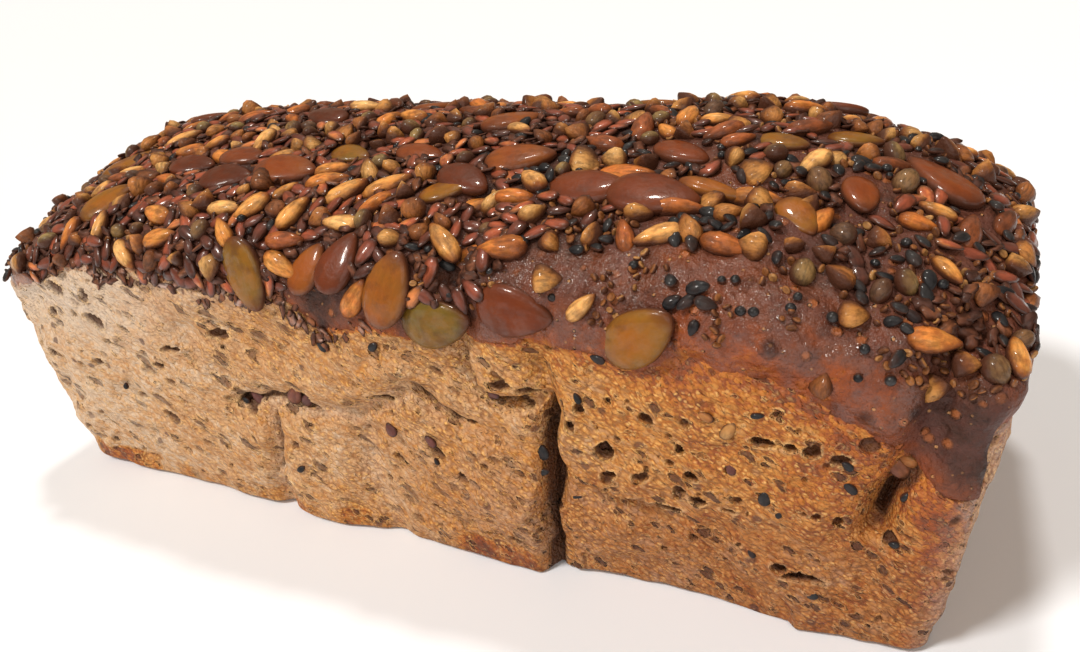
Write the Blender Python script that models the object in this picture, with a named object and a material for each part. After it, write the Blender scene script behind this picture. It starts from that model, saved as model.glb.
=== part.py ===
# A small tin loaf of rye bread under a crust of mixed seeds, about 205 x 95 x 75 mm, in one solid.
# The origin is the middle of its base, X runs along the loaf, -Y is its front wall and Z is up.
# Every size is in millimetres, and the mesh is made in metres with MM.
import math
import random

import bpy
import bmesh
import numpy as np
from mathutils import Matrix, Vector, noise

MM = 0.001

# The loaf as the tin and the oven shaped it
HALF_LENGTH = 103.0
HALF_WIDTH = 46.1
RIM_HEIGHT = 58.2
DOME_RISE = 13.3
RIGHT_END_LIFT = 0.8
LEFT_END_DRAFT = 12.3
RIGHT_END_DRAFT = 8.2
LONG_WALL_DRAFT = 3.5
CORE_HEIGHT = 38.0

# How square the loaf is: in plan, over its shoulders, round its foot, and along and across its dome
PLAN_SQUARENESS = 12.0
SHOULDER_SQUARENESS = 8.5
FOOT_SQUARENESS = 18.0
DOME_ALONG = 4.4
DOME_ACROSS = 1.65

# The grid that the skin is cut from, and how many triangles are kept of it
CUTS_ALONG = 84
CUTS_ACROSS = 38
CUTS_UP = 36
SKIN_TRIANGLES = 4200
FLAT_BASE_BELOW = 0.6

# Creases where lobes of dough met: route, width and depth. On the long walls a route is (x, z), on the
# ends it is (y, z), and on the top it is (x, y).
FRONT_CREASES = (
    (((34, 43), (35.5, 33.5), (34, 29), (34, 19.5), (32.5, 14), (33, 8), (33, -4)), 2.4, 5.5),
    (((20, 45), (20, 39.5), (21.5, 36), (25, 34.5), (30, 35), (35, 37)), 1.9, 2.6),
    (((92, 47), (91, 41), (88, 33.5)), 3.4, 3.4),
    (((88, 33.5), (86, 29), (84.5, 23)), 2.2, 4.2),
    (((-32, 25.5), (-24, 27), (-14, 26.5), (-5, 26.5), (3, 31), (9, 35), (13, 31), (24, 28)), 2.3, 2.4),
    (((-25, 26), (-24, 19), (-27, 10), (-28, -3)), 2.6, 2.8),
    (((-3, 24), (-5, 15), (-1, 6), (0, -3)), 3.0, 1.5),
    (((-42, 40), (-39, 34), (-34, 29)), 2.0, 1.3),
    (((56, 47), (63, 49), (72, 46), (80, 41), (87, 36)), 2.2, 0.9),
)
BACK_CREASES = (
    (((-46, 44), (-44, 33), (-46, 20), (-43, 9), (-44, -4)), 2.4, 4.2),
    (((-45, 30), (-30, 27), (-12, 29), (4, 24), (16, 26)), 2.3, 2.2),
    (((20, 50), (22, 38), (19, 26), (22, 12), (21, -3)), 2.4, 3.2),
    (((58, 30), (64, 20), (62, 9), (66, -3)), 2.6, 2.4),
    (((-84, 47), (-82, 36), (-85, 25)), 2.2, 2.4),
)
END_CREASES = (
    (((-24, 50), (-20, 36), (-23, 22), (-20, -3)), 2.4, 2.2),
    (((-20, 26), (-4, 23), (14, 26), (28, 22)), 2.4, 1.8),
    (((16, 25), (19, 12), (16, -3)), 2.6, 2.0),
)
TOP_CREASES = (
    (((19, -49), (20.5, -43), (22, -37), (19, -31)), 2.6, 3.2),
    (((91, -50), (92, -42), (96, -34)), 2.6, 2.2),
    (((60, -26), (70, -24), (80, -27)), 4.0, 1.2),
)

# Lobes that stand out of the walls: place, radii and rise
FRONT_LOBES = (
    (28, 43, 8, 8, 1.6),
    (48, 11, 16, 9, 1.6),
    (-15, 15, 11, 12, 1.0),
    (16, 14, 14, 14, 1.5),
    (62, 32, 20, 14, 1.0),
    (-58, 28, 22, 22, 1.2),
    (94, 14, 9, 22, 1.6),
)
BACK_LOBES = (
    (-65, 30, 22, 26, 2.0),
    (-16, 42, 30, 16, 2.2),
    (-16, 14, 20, 12, 1.6),
    (44, 30, 20, 28, 2.2),
    (82, 26, 14, 20, 1.6),
)
SLAB_EDGE = ((34, 30), (39.5, 22), (52, 20), (57.5, 16), (65.5, 10.5), (72, 6), (78, 0))
SLAB_OVERHANG = 2.6
SLAB_LIP = 1.6
LUMP_SIZE = 27.0
LUMP_RISE = 2.2
SMALL_LUMP_SIZE = 9.0
SMALL_LUMP_RISE = 0.9
END_FLATNESS = 0.5

# Each kind of seed: length, width and thickness, sides and rings, how far its tip narrows, how deep it sits
PUMPKIN = dict(size=(13.5, 8.4, 3.4), sides=6, rings=4, tip=0.30, sunk=0.20)
SUNFLOWER = dict(size=(9.0, 4.5, 3.4), sides=6, rings=3, tip=0.35, sunk=0.25)
GROAT = dict(size=(4.7, 4.3, 4.0), sides=5, rings=3, tip=0.15, sunk=0.20)

# The large seeds of the front shoulder, at (x, z) seen on the wall: kind, place, turn and length
FRONT_SEEDS = (
    (PUMPKIN, (-21, 54), -72, 14.5),
    (PUMPKIN, (-8, 56), 65, 10.5),
    (PUMPKIN, (-1, 57.5), 70, 12.0),
    (PUMPKIN, (9.5, 54), 68, 14.5),
    (PUMPKIN, (17.5, 49), 14, 14.5),
    (PUMPKIN, (32, 52.5), -3, 14.0),
    (PUMPKIN, (52, 51), 38, 14.0),
    (SUNFLOWER, (-52, 55), -35, 9.0),
    (SUNFLOWER, (-13, 56), -25, 9.0),
    (SUNFLOWER, (2.5, 52), 55, 9.0),
    (SUNFLOWER, (43.5, 54.5), 45, 6.5),
    (GROAT, (88, 57), 20, 4.5),
    (GROAT, (95, 47), 60, 4.5),
    (GROAT, (39, 58), 10, 4.8),
    (GROAT, (78, 47), 80, 4.0),
)

# The large seeds of the top, at (x, y) seen from above: kind, place, turn and length
TOP_SEEDS = (
    (PUMPKIN, (-28, -33.5), 0, 14.5),
    (PUMPKIN, (-46, -37), 8, 12.5),
    (PUMPKIN, (-44, -26.5), -9, 12.5),
    (PUMPKIN, (-61, -29), 5, 11.5),
    (PUMPKIN, (-15, -23), -8, 9.5),
    (PUMPKIN, (1, -21), -4, 10.5),
    (PUMPKIN, (17, -32), -24, 12.0),
    (PUMPKIN, (24, -22), 20, 13.5),
    (PUMPKIN, (15, -37.5), 25, 9.5),
    (PUMPKIN, (44, -32.5), 8, 14.5),
    (PUMPKIN, (58, -33.5), -4, 16.0),
    (PUMPKIN, (52, -16), -20, 11.0),
    (PUMPKIN, (68, -10), -12, 9.5),
    (PUMPKIN, (67, -29.5), -10, 12.0),
    (PUMPKIN, (78, 20), -12, 12.5),
    (PUMPKIN, (81, -3), 4, 9.5),
    (PUMPKIN, (92, -38), -50, 9.0),
    (PUMPKIN, (97, -26), -75, 9.5),
    (SUNFLOWER, (47, -25.5), 2, 11.5),
    (SUNFLOWER, (45, -28.5), 14, 10.0),
    (SUNFLOWER, (65.5, -37.5), 4, 9.5),
    (SUNFLOWER, (77, -30.5), -8, 9.0),
    (SUNFLOWER, (-51, -24), -14, 9.5),
    (SUNFLOWER, (-16, -31.5), 14, 8.5),
    (SUNFLOWER, (-15, -37), 20, 9.5),
    (SUNFLOWER, (-9, -41), 38, 10.0),
    (SUNFLOWER, (0, -36), 32, 10.5),
    (SUNFLOWER, (22.5, -39), 22, 8.5),
    (SUNFLOWER, (32.5, -38.5), 6, 8.0),
    (SUNFLOWER, (96.5, -37), 70, 8.0),
    (GROAT, (27.5, -38.5), 60, 6.0),
    (GROAT, (38, -23), 15, 6.0),
    (GROAT, (60.5, -41), 0, 4.8),
    (GROAT, (70, -33.5), 10, 4.8),
    (GROAT, (77, -38), 30, 5.4),
    (GROAT, (80, -33), 0, 5.4),
    (GROAT, (83.5, -27), 0, 5.0),
    (GROAT, (71.5, -23), 40, 5.4),
    (GROAT, (89.5, -33), 60, 5.4),
    (GROAT, (97, 6), 15, 5.4),
)

# The seeds between them: kind, how many are wanted, and the clear space round each
DRAWN_SEEDS = ((PUMPKIN, 19, 8.2), (SUNFLOWER, 42, 5.2), (GROAT, 50, 3.4))
TRIES_PER_SEED = 60
RANDOM_SEED = 11


def smooth_step(low, high, value):
    t = np.clip((value - low) / (high - low), 0, 1)
    return t * t * (3 - 2 * t)


def inside_loaf(p):
    """True where a point is inside the loaf's smooth form."""
    x, y, z = p.T
    below_rim = 1 - np.clip(z, 0, RIM_HEIGHT) / RIM_HEIGHT
    end_draft = np.where(x > 0, RIGHT_END_DRAFT, LEFT_END_DRAFT)
    along = np.abs(x) / (HALF_LENGTH - end_draft * below_rim)
    across = np.abs(y) / (HALF_WIDTH - LONG_WALL_DRAFT * below_rim)
    wall = (along**PLAN_SQUARENESS + across**PLAN_SQUARENESS) ** (1 / PLAN_SQUARENESS)
    fall = np.clip(along, 0, 1.2) ** DOME_ALONG + np.clip(across, 0, 1.2) ** DOME_ACROSS
    roof = RIM_HEIGHT + RIGHT_END_LIFT * x / HALF_LENGTH + DOME_RISE * (1 - fall)
    above = z > CORE_HEIGHT
    rise = np.where(above, (z - CORE_HEIGHT) / np.maximum(roof - CORE_HEIGHT, 4), 1 - z / CORE_HEIGHT)
    squareness = np.where(above, SHOULDER_SQUARENESS, FOOT_SQUARENESS)
    return wall**squareness + np.abs(rise) ** squareness < 1


def on_form(targets):
    """Where the line from the loaf's core through each target leaves the smooth form."""
    core = np.array((0, 0, CORE_HEIGHT))
    line = targets - core
    near = np.zeros(len(line))
    far = np.full(len(line), 3.0)
    for _ in range(26):
        middle = (near + far) / 2
        inside = inside_loaf(core + line * middle[:, None])
        near = np.where(inside, middle, near)
        far = np.where(inside, far, middle)
    return core + line * near[:, None]


def form_normals(points):
    """The form's outward normals, from four neighbours of each point."""
    step = 1.5
    line = points - np.array((0, 0, CORE_HEIGHT))
    line /= np.linalg.norm(line, axis=1)[:, None]
    side = np.cross(line, np.where(np.abs(line[:, 2:]) > 0.8, (1.0, 0, 0), (0, 0, 1.0)))
    side /= np.linalg.norm(side, axis=1)[:, None]
    up = np.cross(side, line)
    across = on_form(points + side * step) - on_form(points - side * step)
    along = on_form(points + up * step) - on_form(points - up * step)
    normal = np.cross(across, along)
    normal /= np.linalg.norm(normal, axis=1)[:, None]
    return normal * np.sign((normal * line).sum(axis=1))[:, None]


def route_distance(a, b, route):
    """The distance of each (a, b) from a route of straight runs."""
    best = np.full(len(a), 1e9)
    for (a0, b0), (a1, b1) in zip(route, route[1:]):
        run_a, run_b = a1 - a0, b1 - b0
        t = np.clip(((a - a0) * run_a + (b - b0) * run_b) / (run_a**2 + run_b**2), 0, 1)
        best = np.minimum(best, np.hypot(a - a0 - t * run_a, b - b0 - t * run_b))
    return best


def crease_depth(a, b, creases):
    """The deepest crease at each (a, b)."""
    depth = np.zeros(len(a))
    for route, width, deepest in creases:
        depth = np.maximum(depth, deepest * np.exp(-((route_distance(a, b, route) / width) ** 2)))
    return depth


def lobe_rise(a, b, lobes):
    rise = np.zeros(len(a))
    for centre_a, centre_b, radius_a, radius_b, height in lobes:
        far = ((a - centre_a) / radius_a) ** 2 + ((b - centre_b) / radius_b) ** 2
        rise = np.maximum(rise, height * np.clip(1 - far, 0, 1))
    return rise


def slab_step(x, z):
    """The right half of the front wall is a slab that overhangs the lobe under it."""
    edge_x, edge_z = zip(*SLAB_EDGE)
    height = z - np.interp(x, edge_x, edge_z)
    beside = smooth_step(33.5, 35.5, x) * (1 - smooth_step(75, 80, x))
    return -SLAB_OVERHANG * beside * (1 - smooth_step(-SLAB_LIP, 0.5, height))


def lumps(points, size):
    return np.array([noise.noise(Vector(p) / size) for p in points])


def relief(points, normals):
    """How far the skin stands out of the smooth form: lobes and lumps out, creases in."""
    x, y, z = points.T
    front, back = smooth_step(0.3, 0.75, -normals[:, 1]), smooth_step(0.3, 0.75, normals[:, 1])
    ends = smooth_step(0.3, 0.75, np.abs(normals[:, 0]))
    top = smooth_step(0.15, 0.5, normals[:, 2])
    out = LUMP_RISE * lumps(points, LUMP_SIZE) + SMALL_LUMP_RISE * lumps(points, SMALL_LUMP_SIZE)
    out *= 1 - END_FLATNESS * ends
    out += front * (lobe_rise(x, z, FRONT_LOBES) - crease_depth(x, z, FRONT_CREASES) + slab_step(x, z))
    out += back * (lobe_rise(x, z, BACK_LOBES) - crease_depth(x, z, BACK_CREASES))
    out -= ends * crease_depth(y * np.sign(x), z, END_CREASES)
    out -= top * crease_depth(x, y, TOP_CREASES)
    return out * smooth_step(-0.9, -0.4, normals[:, 2])


def skin(targets):
    """Points of the loaf's real skin, and the form's normals there."""
    points = on_form(targets)
    normals = form_normals(points)
    points = points + normals * relief(points, normals)[:, None]
    points[:, 2] = np.where(points[:, 2] < FLAT_BASE_BELOW, 0, points[:, 2])
    return points, normals


def material(name, colour, roughness):
    made = bpy.data.materials.new(name)
    made.use_nodes = True
    shader = made.node_tree.nodes["Principled BSDF"]
    shader.inputs["Base Color"].default_value = (*colour, 1)
    shader.inputs["Roughness"].default_value = roughness
    shader.inputs["Metallic"].default_value = 0
    return made


def link_mesh(name, bm, collection):
    mesh = bpy.data.meshes.new(name)
    bm.to_mesh(mesh)
    bm.free()
    made = bpy.data.objects.new(name, mesh)
    collection.objects.link(made)
    return made


def flat_base(bm):
    """The faces that lie at z = 0 become one face."""
    low = [face for face in bm.faces if max(v.co.z for v in face.verts) < 1e-7]
    bmesh.ops.dissolve_faces(bm, faces=low, use_verts=True)


def make_loaf(collection):
    """A cube is cut into a grid, thrown on the loaf's skin and thinned to few triangles."""
    bm = bmesh.new()
    bmesh.ops.create_cube(bm, size=2)
    for axis, cuts in enumerate((CUTS_ALONG, CUTS_ACROSS, CUTS_UP)):
        edges = [e for e in bm.edges if abs(e.verts[0].co[axis] - e.verts[1].co[axis]) > 1e-6]
        bmesh.ops.subdivide_edges(bm, edges=edges, cuts=cuts, use_grid_fill=True)
    half_sizes = np.array((HALF_LENGTH, HALF_WIDTH, CORE_HEIGHT))
    corners = np.array([v.co for v in bm.verts]) * half_sizes + (0, 0, CORE_HEIGHT)
    points, _ = skin(corners)
    for vert, point in zip(bm.verts, points):
        vert.co = point * MM
    bmesh.ops.recalc_face_normals(bm, faces=bm.faces)
    bmesh.ops.triangulate(bm, faces=bm.faces)
    triangles = len(bm.faces)
    loaf = link_mesh("loaf", bm, collection)
    thin = loaf.modifiers.new("thin", "DECIMATE")
    thin.ratio = SKIN_TRIANGLES / triangles
    apply_modifiers(loaf)
    bm = bmesh.new()
    bm.from_mesh(loaf.data)
    for vert in bm.verts:
        if vert.co.z < FLAT_BASE_BELOW * MM:
            vert.co.z = 0
    flat_base(bm)
    bm.to_mesh(loaf.data)
    bm.free()
    return loaf


def apply_modifiers(target):
    depsgraph = bpy.context.evaluated_depsgraph_get()
    finished = bpy.data.meshes.new_from_object(target.evaluated_get(depsgraph))
    target.modifiers.clear()
    target.data = finished


def make_seed(kind, length, place, normal, turn, collection):
    """One seed: a ball of few sides, flattened, narrowed to a tip, and laid on the skin."""
    full_length, full_width, thickness = kind["size"]
    width = full_width * (length / full_length)
    bm = bmesh.new()
    bmesh.ops.create_uvsphere(bm, u_segments=kind["sides"], v_segments=kind["rings"], radius=1)
    stand = Matrix.Rotation(math.pi / 2, 3, "Y")
    bmesh.ops.transform(bm, matrix=stand.to_4x4(), verts=bm.verts)
    for vert in bm.verts:
        narrow = 1 - kind["tip"] * vert.co.x
        vert.co = Vector((vert.co.x * length / 2, vert.co.y * width * narrow / 2, vert.co.z * thickness / 2))
    frame = seed_frame(normal, turn)
    centre = Vector(place) + Vector(normal) * thickness * (0.5 - kind["sunk"])
    for vert in bm.verts:
        vert.co = (centre + frame @ vert.co) * MM
    return link_mesh("seed", bm, collection)


def seed_frame(normal, turn):
    """Axes of a seed that lies on the skin, its length turned from the loaf's own length."""
    up = Vector(normal)
    along = Vector((1, 0, 0)) - up * up.x
    if along.length < 0.3:
        along = Vector((0, -1, 0)) - up * -up.y
    along.normalize()
    frame = Matrix((along, up.cross(along), up)).transposed()
    return frame @ Matrix.Rotation(math.radians(turn), 3, "Z")


def bare_crust(x, y, z):
    """True on the smooth lobe of crust at the front right, where few seeds lie."""
    return 22 < x < 99 and y < -33 and z > 40


def crust_margin(x):
    """The height at which the seeded crust of the front ends and the wall begins."""
    return np.interp(x, (-95, -80, -60, -20, 10, 30, 60, 80, 90), (50, 53, 54, 53, 52, 52, 50, 48, 46))


def draw_seeds():
    """Where the seeds lie: those set by hand first, then drawn ones that keep clear of them."""
    rng = random.Random(RANDOM_SEED)
    by_hand = [(kind, (x, -HALF_WIDTH, z), turn, length) for kind, (x, z), turn, length in FRONT_SEEDS]
    crown = RIM_HEIGHT + DOME_RISE
    by_hand += [(kind, (x, y, crown), turn, length) for kind, (x, y), turn, length in TOP_SEEDS]
    targets = np.array([target for _, target, _, _ in by_hand], float)
    places, normals = skin(targets)
    laid = [(kind, length, p, n, turn) for (kind, _, turn, length), p, n in zip(by_hand, places, normals)]
    taken = [(p, kind["size"][0] * 0.42) for kind, _, p, _, _ in laid]
    for kind, wanted, clear in DRAWN_SEEDS:
        tries = wanted * TRIES_PER_SEED
        spots = [(rng.uniform(-118, 118), rng.uniform(-62, 62), crown) for _ in range(tries)]
        turns = [rng.uniform(0, 180) for _ in range(tries)]
        growth = [rng.uniform(0.85, 1.12) for _ in range(tries)]
        places, normals = skin(np.array(spots))
        count = 0
        for place, normal, turn, grown in zip(places, normals, turns, growth):
            x, y, z = place
            if count == wanted:
                break
            if z < crust_margin(x) + kind["size"][1] / 2 or bare_crust(x, y, z) or normal[2] < 0.25:
                continue
            if any(np.linalg.norm(place - other) < clear + radius for other, radius in taken):
                continue
            laid.append((kind, kind["size"][0] * grown, place, normal, turn))
            taken.append((place, clear))
            count += 1
    return laid


def fuse(loaf, collection):
    """The seeds become one body with the loaf."""
    union = loaf.modifiers.new("seeds", "BOOLEAN")
    union.operation = "UNION"
    union.operand_type = "COLLECTION"
    union.collection = collection
    union.solver = "EXACT"
    apply_modifiers(loaf)
    for seed in list(collection.objects):
        bpy.data.objects.remove(seed)
    bpy.data.collections.remove(collection)


def keep_one_body(loaf):
    """Any scrap or sealed hollow that the union left is taken away: only the largest shell stays."""
    bm = bmesh.new()
    bm.from_mesh(loaf.data)
    left = set(bm.faces)
    shells = []
    while left:
        shell, edge_of_search = set(), [left.pop()]
        while edge_of_search:
            face = edge_of_search.pop()
            shell.add(face)
            for edge in face.edges:
                for other in edge.link_faces:
                    if other in left:
                        left.remove(other)
                        edge_of_search.append(other)
        shells.append(shell)
    largest = max(shells, key=len)
    bmesh.ops.delete(bm, geom=[f for f in bm.faces if f not in largest], context="FACES")
    bmesh.ops.triangulate(bm, faces=[f for f in bm.faces if len(f.verts) > 3 and f.calc_area() < 1e-3])
    bm.to_mesh(loaf.data)
    bm.free()


def build():
    for old in list(bpy.data.objects):
        bpy.data.objects.remove(old, do_unlink=True)
    scene = bpy.context.scene.collection
    loaf = make_loaf(scene)
    seeds = bpy.data.collections.new("seeds")
    scene.children.link(seeds)
    for kind, length, place, normal, turn in draw_seeds():
        make_seed(kind, length, place, normal, turn, seeds)
    fuse(loaf, seeds)
    keep_one_body(loaf)
    loaf.data.materials.clear()
    loaf.data.materials.append(material("rye_crust", (0.30, 0.14, 0.06), 0.55))


build()
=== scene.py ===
import math
import random

import bmesh
import bpy
import numpy as np
from mathutils import Matrix, Vector, noise


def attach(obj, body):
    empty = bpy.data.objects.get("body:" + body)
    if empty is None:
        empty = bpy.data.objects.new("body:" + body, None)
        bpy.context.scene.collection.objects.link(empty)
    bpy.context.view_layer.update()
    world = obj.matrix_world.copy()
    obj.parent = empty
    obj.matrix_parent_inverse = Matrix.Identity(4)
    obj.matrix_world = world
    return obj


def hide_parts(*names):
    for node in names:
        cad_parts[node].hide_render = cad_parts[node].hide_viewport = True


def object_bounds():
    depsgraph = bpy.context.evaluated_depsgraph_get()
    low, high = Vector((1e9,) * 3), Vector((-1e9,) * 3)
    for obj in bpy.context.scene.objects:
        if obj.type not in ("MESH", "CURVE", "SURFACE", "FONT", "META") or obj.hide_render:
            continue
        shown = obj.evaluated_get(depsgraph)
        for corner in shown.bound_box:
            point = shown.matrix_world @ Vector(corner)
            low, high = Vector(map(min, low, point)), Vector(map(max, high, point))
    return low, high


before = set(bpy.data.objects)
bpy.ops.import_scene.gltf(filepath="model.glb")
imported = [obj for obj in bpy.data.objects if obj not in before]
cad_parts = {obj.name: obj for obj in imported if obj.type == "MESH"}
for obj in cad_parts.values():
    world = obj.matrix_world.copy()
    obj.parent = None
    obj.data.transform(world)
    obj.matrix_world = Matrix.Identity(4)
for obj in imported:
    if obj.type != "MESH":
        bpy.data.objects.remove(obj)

cad_low, cad_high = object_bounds()

# The crumb of the loaf: a dense rye dough baked in an oblong tin, turned out whole.
# Its walls took the tin's flat sides, with creases where lobes of dough met, burst bubbles and a hard base.
# Sizes here and below are in millimetres, and MM turns them into the frame's metres.
MM = 0.001
HALF_LENGTH = 103.0
HALF_WIDTH = 46.1
RIM_HEIGHT = 58.2
DOME_RISE = 13.3
RIGHT_END_LIFT = 0.8
LEFT_END_DRAFT = 12.3
RIGHT_END_DRAFT = 8.2
LONG_WALL_DRAFT = 3.5
CORE_HEIGHT = 38.0
PLAN_SQUARENESS = 12.0
SHOULDER_SQUARENESS = 8.5
FOOT_SQUARENESS = 18.0
DOME_ALONG = 4.4
DOME_ACROSS = 1.65
DOME_REACH = 1.2
LEAST_RISE = 4.0
CROWN = RIM_HEIGHT + DOME_RISE

FRONT_CREASES = (
    (((34, 43), (35.5, 36)), 1.9, 2.2),
    (((35.5, 35), (34, 29), (34, 19.5), (32.5, 14), (33, 8), (33, -4)), 1.7, 4.6),
    (((20, 45), (20, 39.5), (21.5, 36), (25, 34.5), (30, 35), (35, 37)), 1.9, 2.6),
    (((92, 47), (91, 41), (88, 33.5)), 3.4, 3.4),
    (((88, 33.5), (86, 29), (84.5, 23)), 2.2, 4.2),
    (((-32, 25.5), (-24, 27), (-14, 26.5), (-5, 26.5), (3, 31), (9, 35), (13, 31), (24, 28)), 2.3, 2.4),
    (((-25, 26), (-24, 19), (-27, 10), (-28, -3)), 2.2, 2.0),
    (((-3, 24), (-5, 15), (-1, 6), (0, -3)), 3.0, 1.5),
    (((-42, 40), (-39, 34), (-34, 29)), 2.0, 1.3),
    (((56, 47), (63, 49), (72, 46), (80, 41), (87, 36)), 2.2, 0.9),
)
BACK_CREASES = (
    (((-46, 44), (-44, 33), (-46, 20), (-43, 9), (-44, -4)), 2.4, 4.2),
    (((-45, 30), (-30, 27), (-12, 29), (4, 24), (16, 26)), 2.3, 2.2),
    (((20, 50), (22, 38), (19, 26), (22, 12), (21, -3)), 2.4, 3.2),
    (((58, 30), (64, 20), (62, 9), (66, -3)), 2.6, 2.4),
    (((-84, 47), (-82, 36), (-85, 25)), 2.2, 2.4),
)
END_CREASES = (
    (((-24, 50), (-20, 36), (-23, 22), (-20, -3)), 2.4, 2.2),
    (((-20, 26), (-4, 23), (14, 26), (28, 22)), 2.4, 1.8),
    (((16, 25), (19, 12), (16, -3)), 2.6, 2.0),
)
TOP_CREASES = (
    (((19, -49), (20.5, -43), (22, -37), (19, -31)), 2.6, 3.2),
    (((91, -50), (92, -42), (96, -34)), 2.6, 2.2),
    (((60, -26), (70, -24), (80, -27)), 4.0, 1.2),
)
FRONT_LOBES = (
    (28, 43, 8, 8, 1.6),
    (48, 11, 16, 9, 1.6),
    (-15, 15, 11, 12, 1.0),
    (16, 14, 14, 14, 1.5),
    (62, 32, 20, 14, 1.0),
    (-58, 28, 22, 22, 1.2),
    (94, 14, 9, 22, 1.6),
)
BACK_LOBES = (
    (-65, 30, 22, 26, 2.0),
    (-16, 42, 30, 16, 2.2),
    (-16, 14, 20, 12, 1.6),
    (44, 30, 20, 28, 2.2),
    (82, 26, 14, 20, 1.6),
)
SLAB_EDGE = ((34, 30), (39.5, 22), (52, 20), (57.5, 16), (65.5, 10.5), (72, 6), (78, 0))
SLAB_OVERHANG = 2.6
SLAB_LIP = 1.6
SLAB_STARTS = (33.5, 35.5)
SLAB_FADES = (66, 84)
LUMP_SIZE = 27.0
LUMP_RISE = 2.2
SMALL_LUMP_SIZE = 9.0
SMALL_LUMP_RISE = 0.9
END_FLATNESS = 0.5
FLAT_BASE_BELOW = 0.6

# Burst bubbles that stand out on the front wall: place (x, z), half sizes and depth
FRONT_HOLES = (
    (69, 36.6, 1.9, 1.0, 1.5), (72.8, 36.6, 0.9, 0.8, 1.3), (75.5, 36.2, 1.3, 1.1, 1.7),
    (79.5, 35, 1.3, 0.8, 1.4), (52, 37.5, 1.3, 1.1, 1.6), (58.5, 28, 1.5, 1.1, 1.6),
    (59.5, 23.5, 1.3, 1.0, 1.6), (44.5, 29.5, 1.6, 1.8, 2.0), (45, 25, 1.3, 0.8, 1.5),
    (39, 33.5, 1.0, 1.2, 1.4), (41, 37, 1.0, 0.8, 1.2), (57, 33, 0.8, 1.1, 1.4),
    (75, 11.5, 3.4, 0.9, 2.0), (71.5, 13, 1.0, 0.9, 1.8), (47, 20.5, 1.9, 0.7, 1.2),
    (50, 25.8, 1.2, 0.8, 1.2), (83, 37.5, 1.4, 1.2, 1.5), (54, 20.5, 2.6, 0.8, 1.2),
    (64, 22.5, 1.3, 0.5, 1.0), (31.5, 38, 1.6, 0.9, 1.6), (-78, 40, 1.2, 1.0, 1.2),
    (-70, 41, 1.4, 0.9, 1.1), (-50, 31.5, 1.8, 1.0, 1.2), (-33, 40, 2.4, 1.0, 1.6),
    (-64, 46, 0.9, 1.6, 1.0), (-62, 36, 1.2, 0.8, 1.0), (-45, 36, 2.2, 0.7, 1.2),
    (-60, 22, 1.5, 0.9, 1.0), (-31, 25, 3.0, 1.0, 1.8), (-19, 28, 3.6, 1.2, 1.6),
    (-83, 30, 1.4, 1.0, 1.2), (-68, 30, 1.6, 0.8, 1.0), (2, 31.5, 2.6, 0.6, 1.0),
    (23.5, 36.5, 1.6, 0.6, 1.4), (27.5, 39, 2.0, 0.9, 1.5), (17, 30, 1.8, 0.5, 1.0),
)

# Narrow cracks within the folds, where the lobes of dough never joined: route, width and depth
FRONT_CRACKS = (
    (((35.5, 37), (35, 33), (34.2, 30)), 0.6, 1.6),
    (((34.2, 29), (34, 19.5), (33, 14), (33, 8), (33, 1)), 0.8, 3.0),
    (((90, 35), (88, 32), (86, 28.5), (84.5, 24)), 0.8, 2.6),
    (((22, 40), (21.5, 36.5), (25, 34.5), (30, 35)), 0.5, 1.5),
    (((-33, 25.5), (-24, 27.2), (-14, 26.5)), 0.5, 1.3),
    (((9, 35), (13, 31), (20, 29.5)), 0.4, 1.0),
    (((-25, 24), (-24.5, 17), (-26.5, 11)), 0.4, 0.9),
)

# Where the dark crust ends on the front wall and the pale crumb wall starts: (x, height)
CRUST_EDGE = (
    (-103, 46), (-90, 44), (-80, 47), (-66, 51), (-55, 51), (-40, 51), (-31, 49), (-22, 48.5),
    (-14, 49.5), (-7, 42), (0, 46), (10, 45), (24, 46), (45, 46), (51, 45), (60, 47), (70, 45),
    (75, 43), (78, 41), (82, 39.5), (86, 36), (89, 34), (92, 30), (96, 27), (103, 27),
)


def smooth_step(low, high, value):
    t = np.clip((value - low) / (high - low), 0, 1)
    return t * t * (3 - 2 * t)


def inside_loaf(p):
    """True where a point is inside the loaf's smooth form."""
    x, y, z = p.T
    below_rim = 1 - np.clip(z, 0, RIM_HEIGHT) / RIM_HEIGHT
    end_draft = np.where(x > 0, RIGHT_END_DRAFT, LEFT_END_DRAFT)
    along = np.abs(x) / (HALF_LENGTH - end_draft * below_rim)
    across = np.abs(y) / (HALF_WIDTH - LONG_WALL_DRAFT * below_rim)
    wall = (along**PLAN_SQUARENESS + across**PLAN_SQUARENESS) ** (1 / PLAN_SQUARENESS)
    fall = np.clip(along, 0, DOME_REACH) ** DOME_ALONG + np.clip(across, 0, DOME_REACH) ** DOME_ACROSS
    roof = RIM_HEIGHT + RIGHT_END_LIFT * x / HALF_LENGTH + DOME_RISE * (1 - fall)
    above = z > CORE_HEIGHT
    upper = (z - CORE_HEIGHT) / np.maximum(roof - CORE_HEIGHT, LEAST_RISE)
    rise = np.where(above, upper, 1 - z / CORE_HEIGHT)
    squareness = np.where(above, SHOULDER_SQUARENESS, FOOT_SQUARENESS)
    return wall**squareness + np.abs(rise) ** squareness < 1


HALVINGS = 26
FARTHEST = 3.0


def on_form(targets):
    """Where the line from the loaf's core through each target leaves the smooth form."""
    core = np.array((0, 0, CORE_HEIGHT))
    line = targets - core
    near = np.zeros(len(line))
    far = np.full(len(line), FARTHEST)
    for _ in range(HALVINGS):
        middle = (near + far) / 2
        inside = inside_loaf(core + line * middle[:, None])
        near = np.where(inside, middle, near)
        far = np.where(inside, far, middle)
    return core + line * near[:, None]


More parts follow.
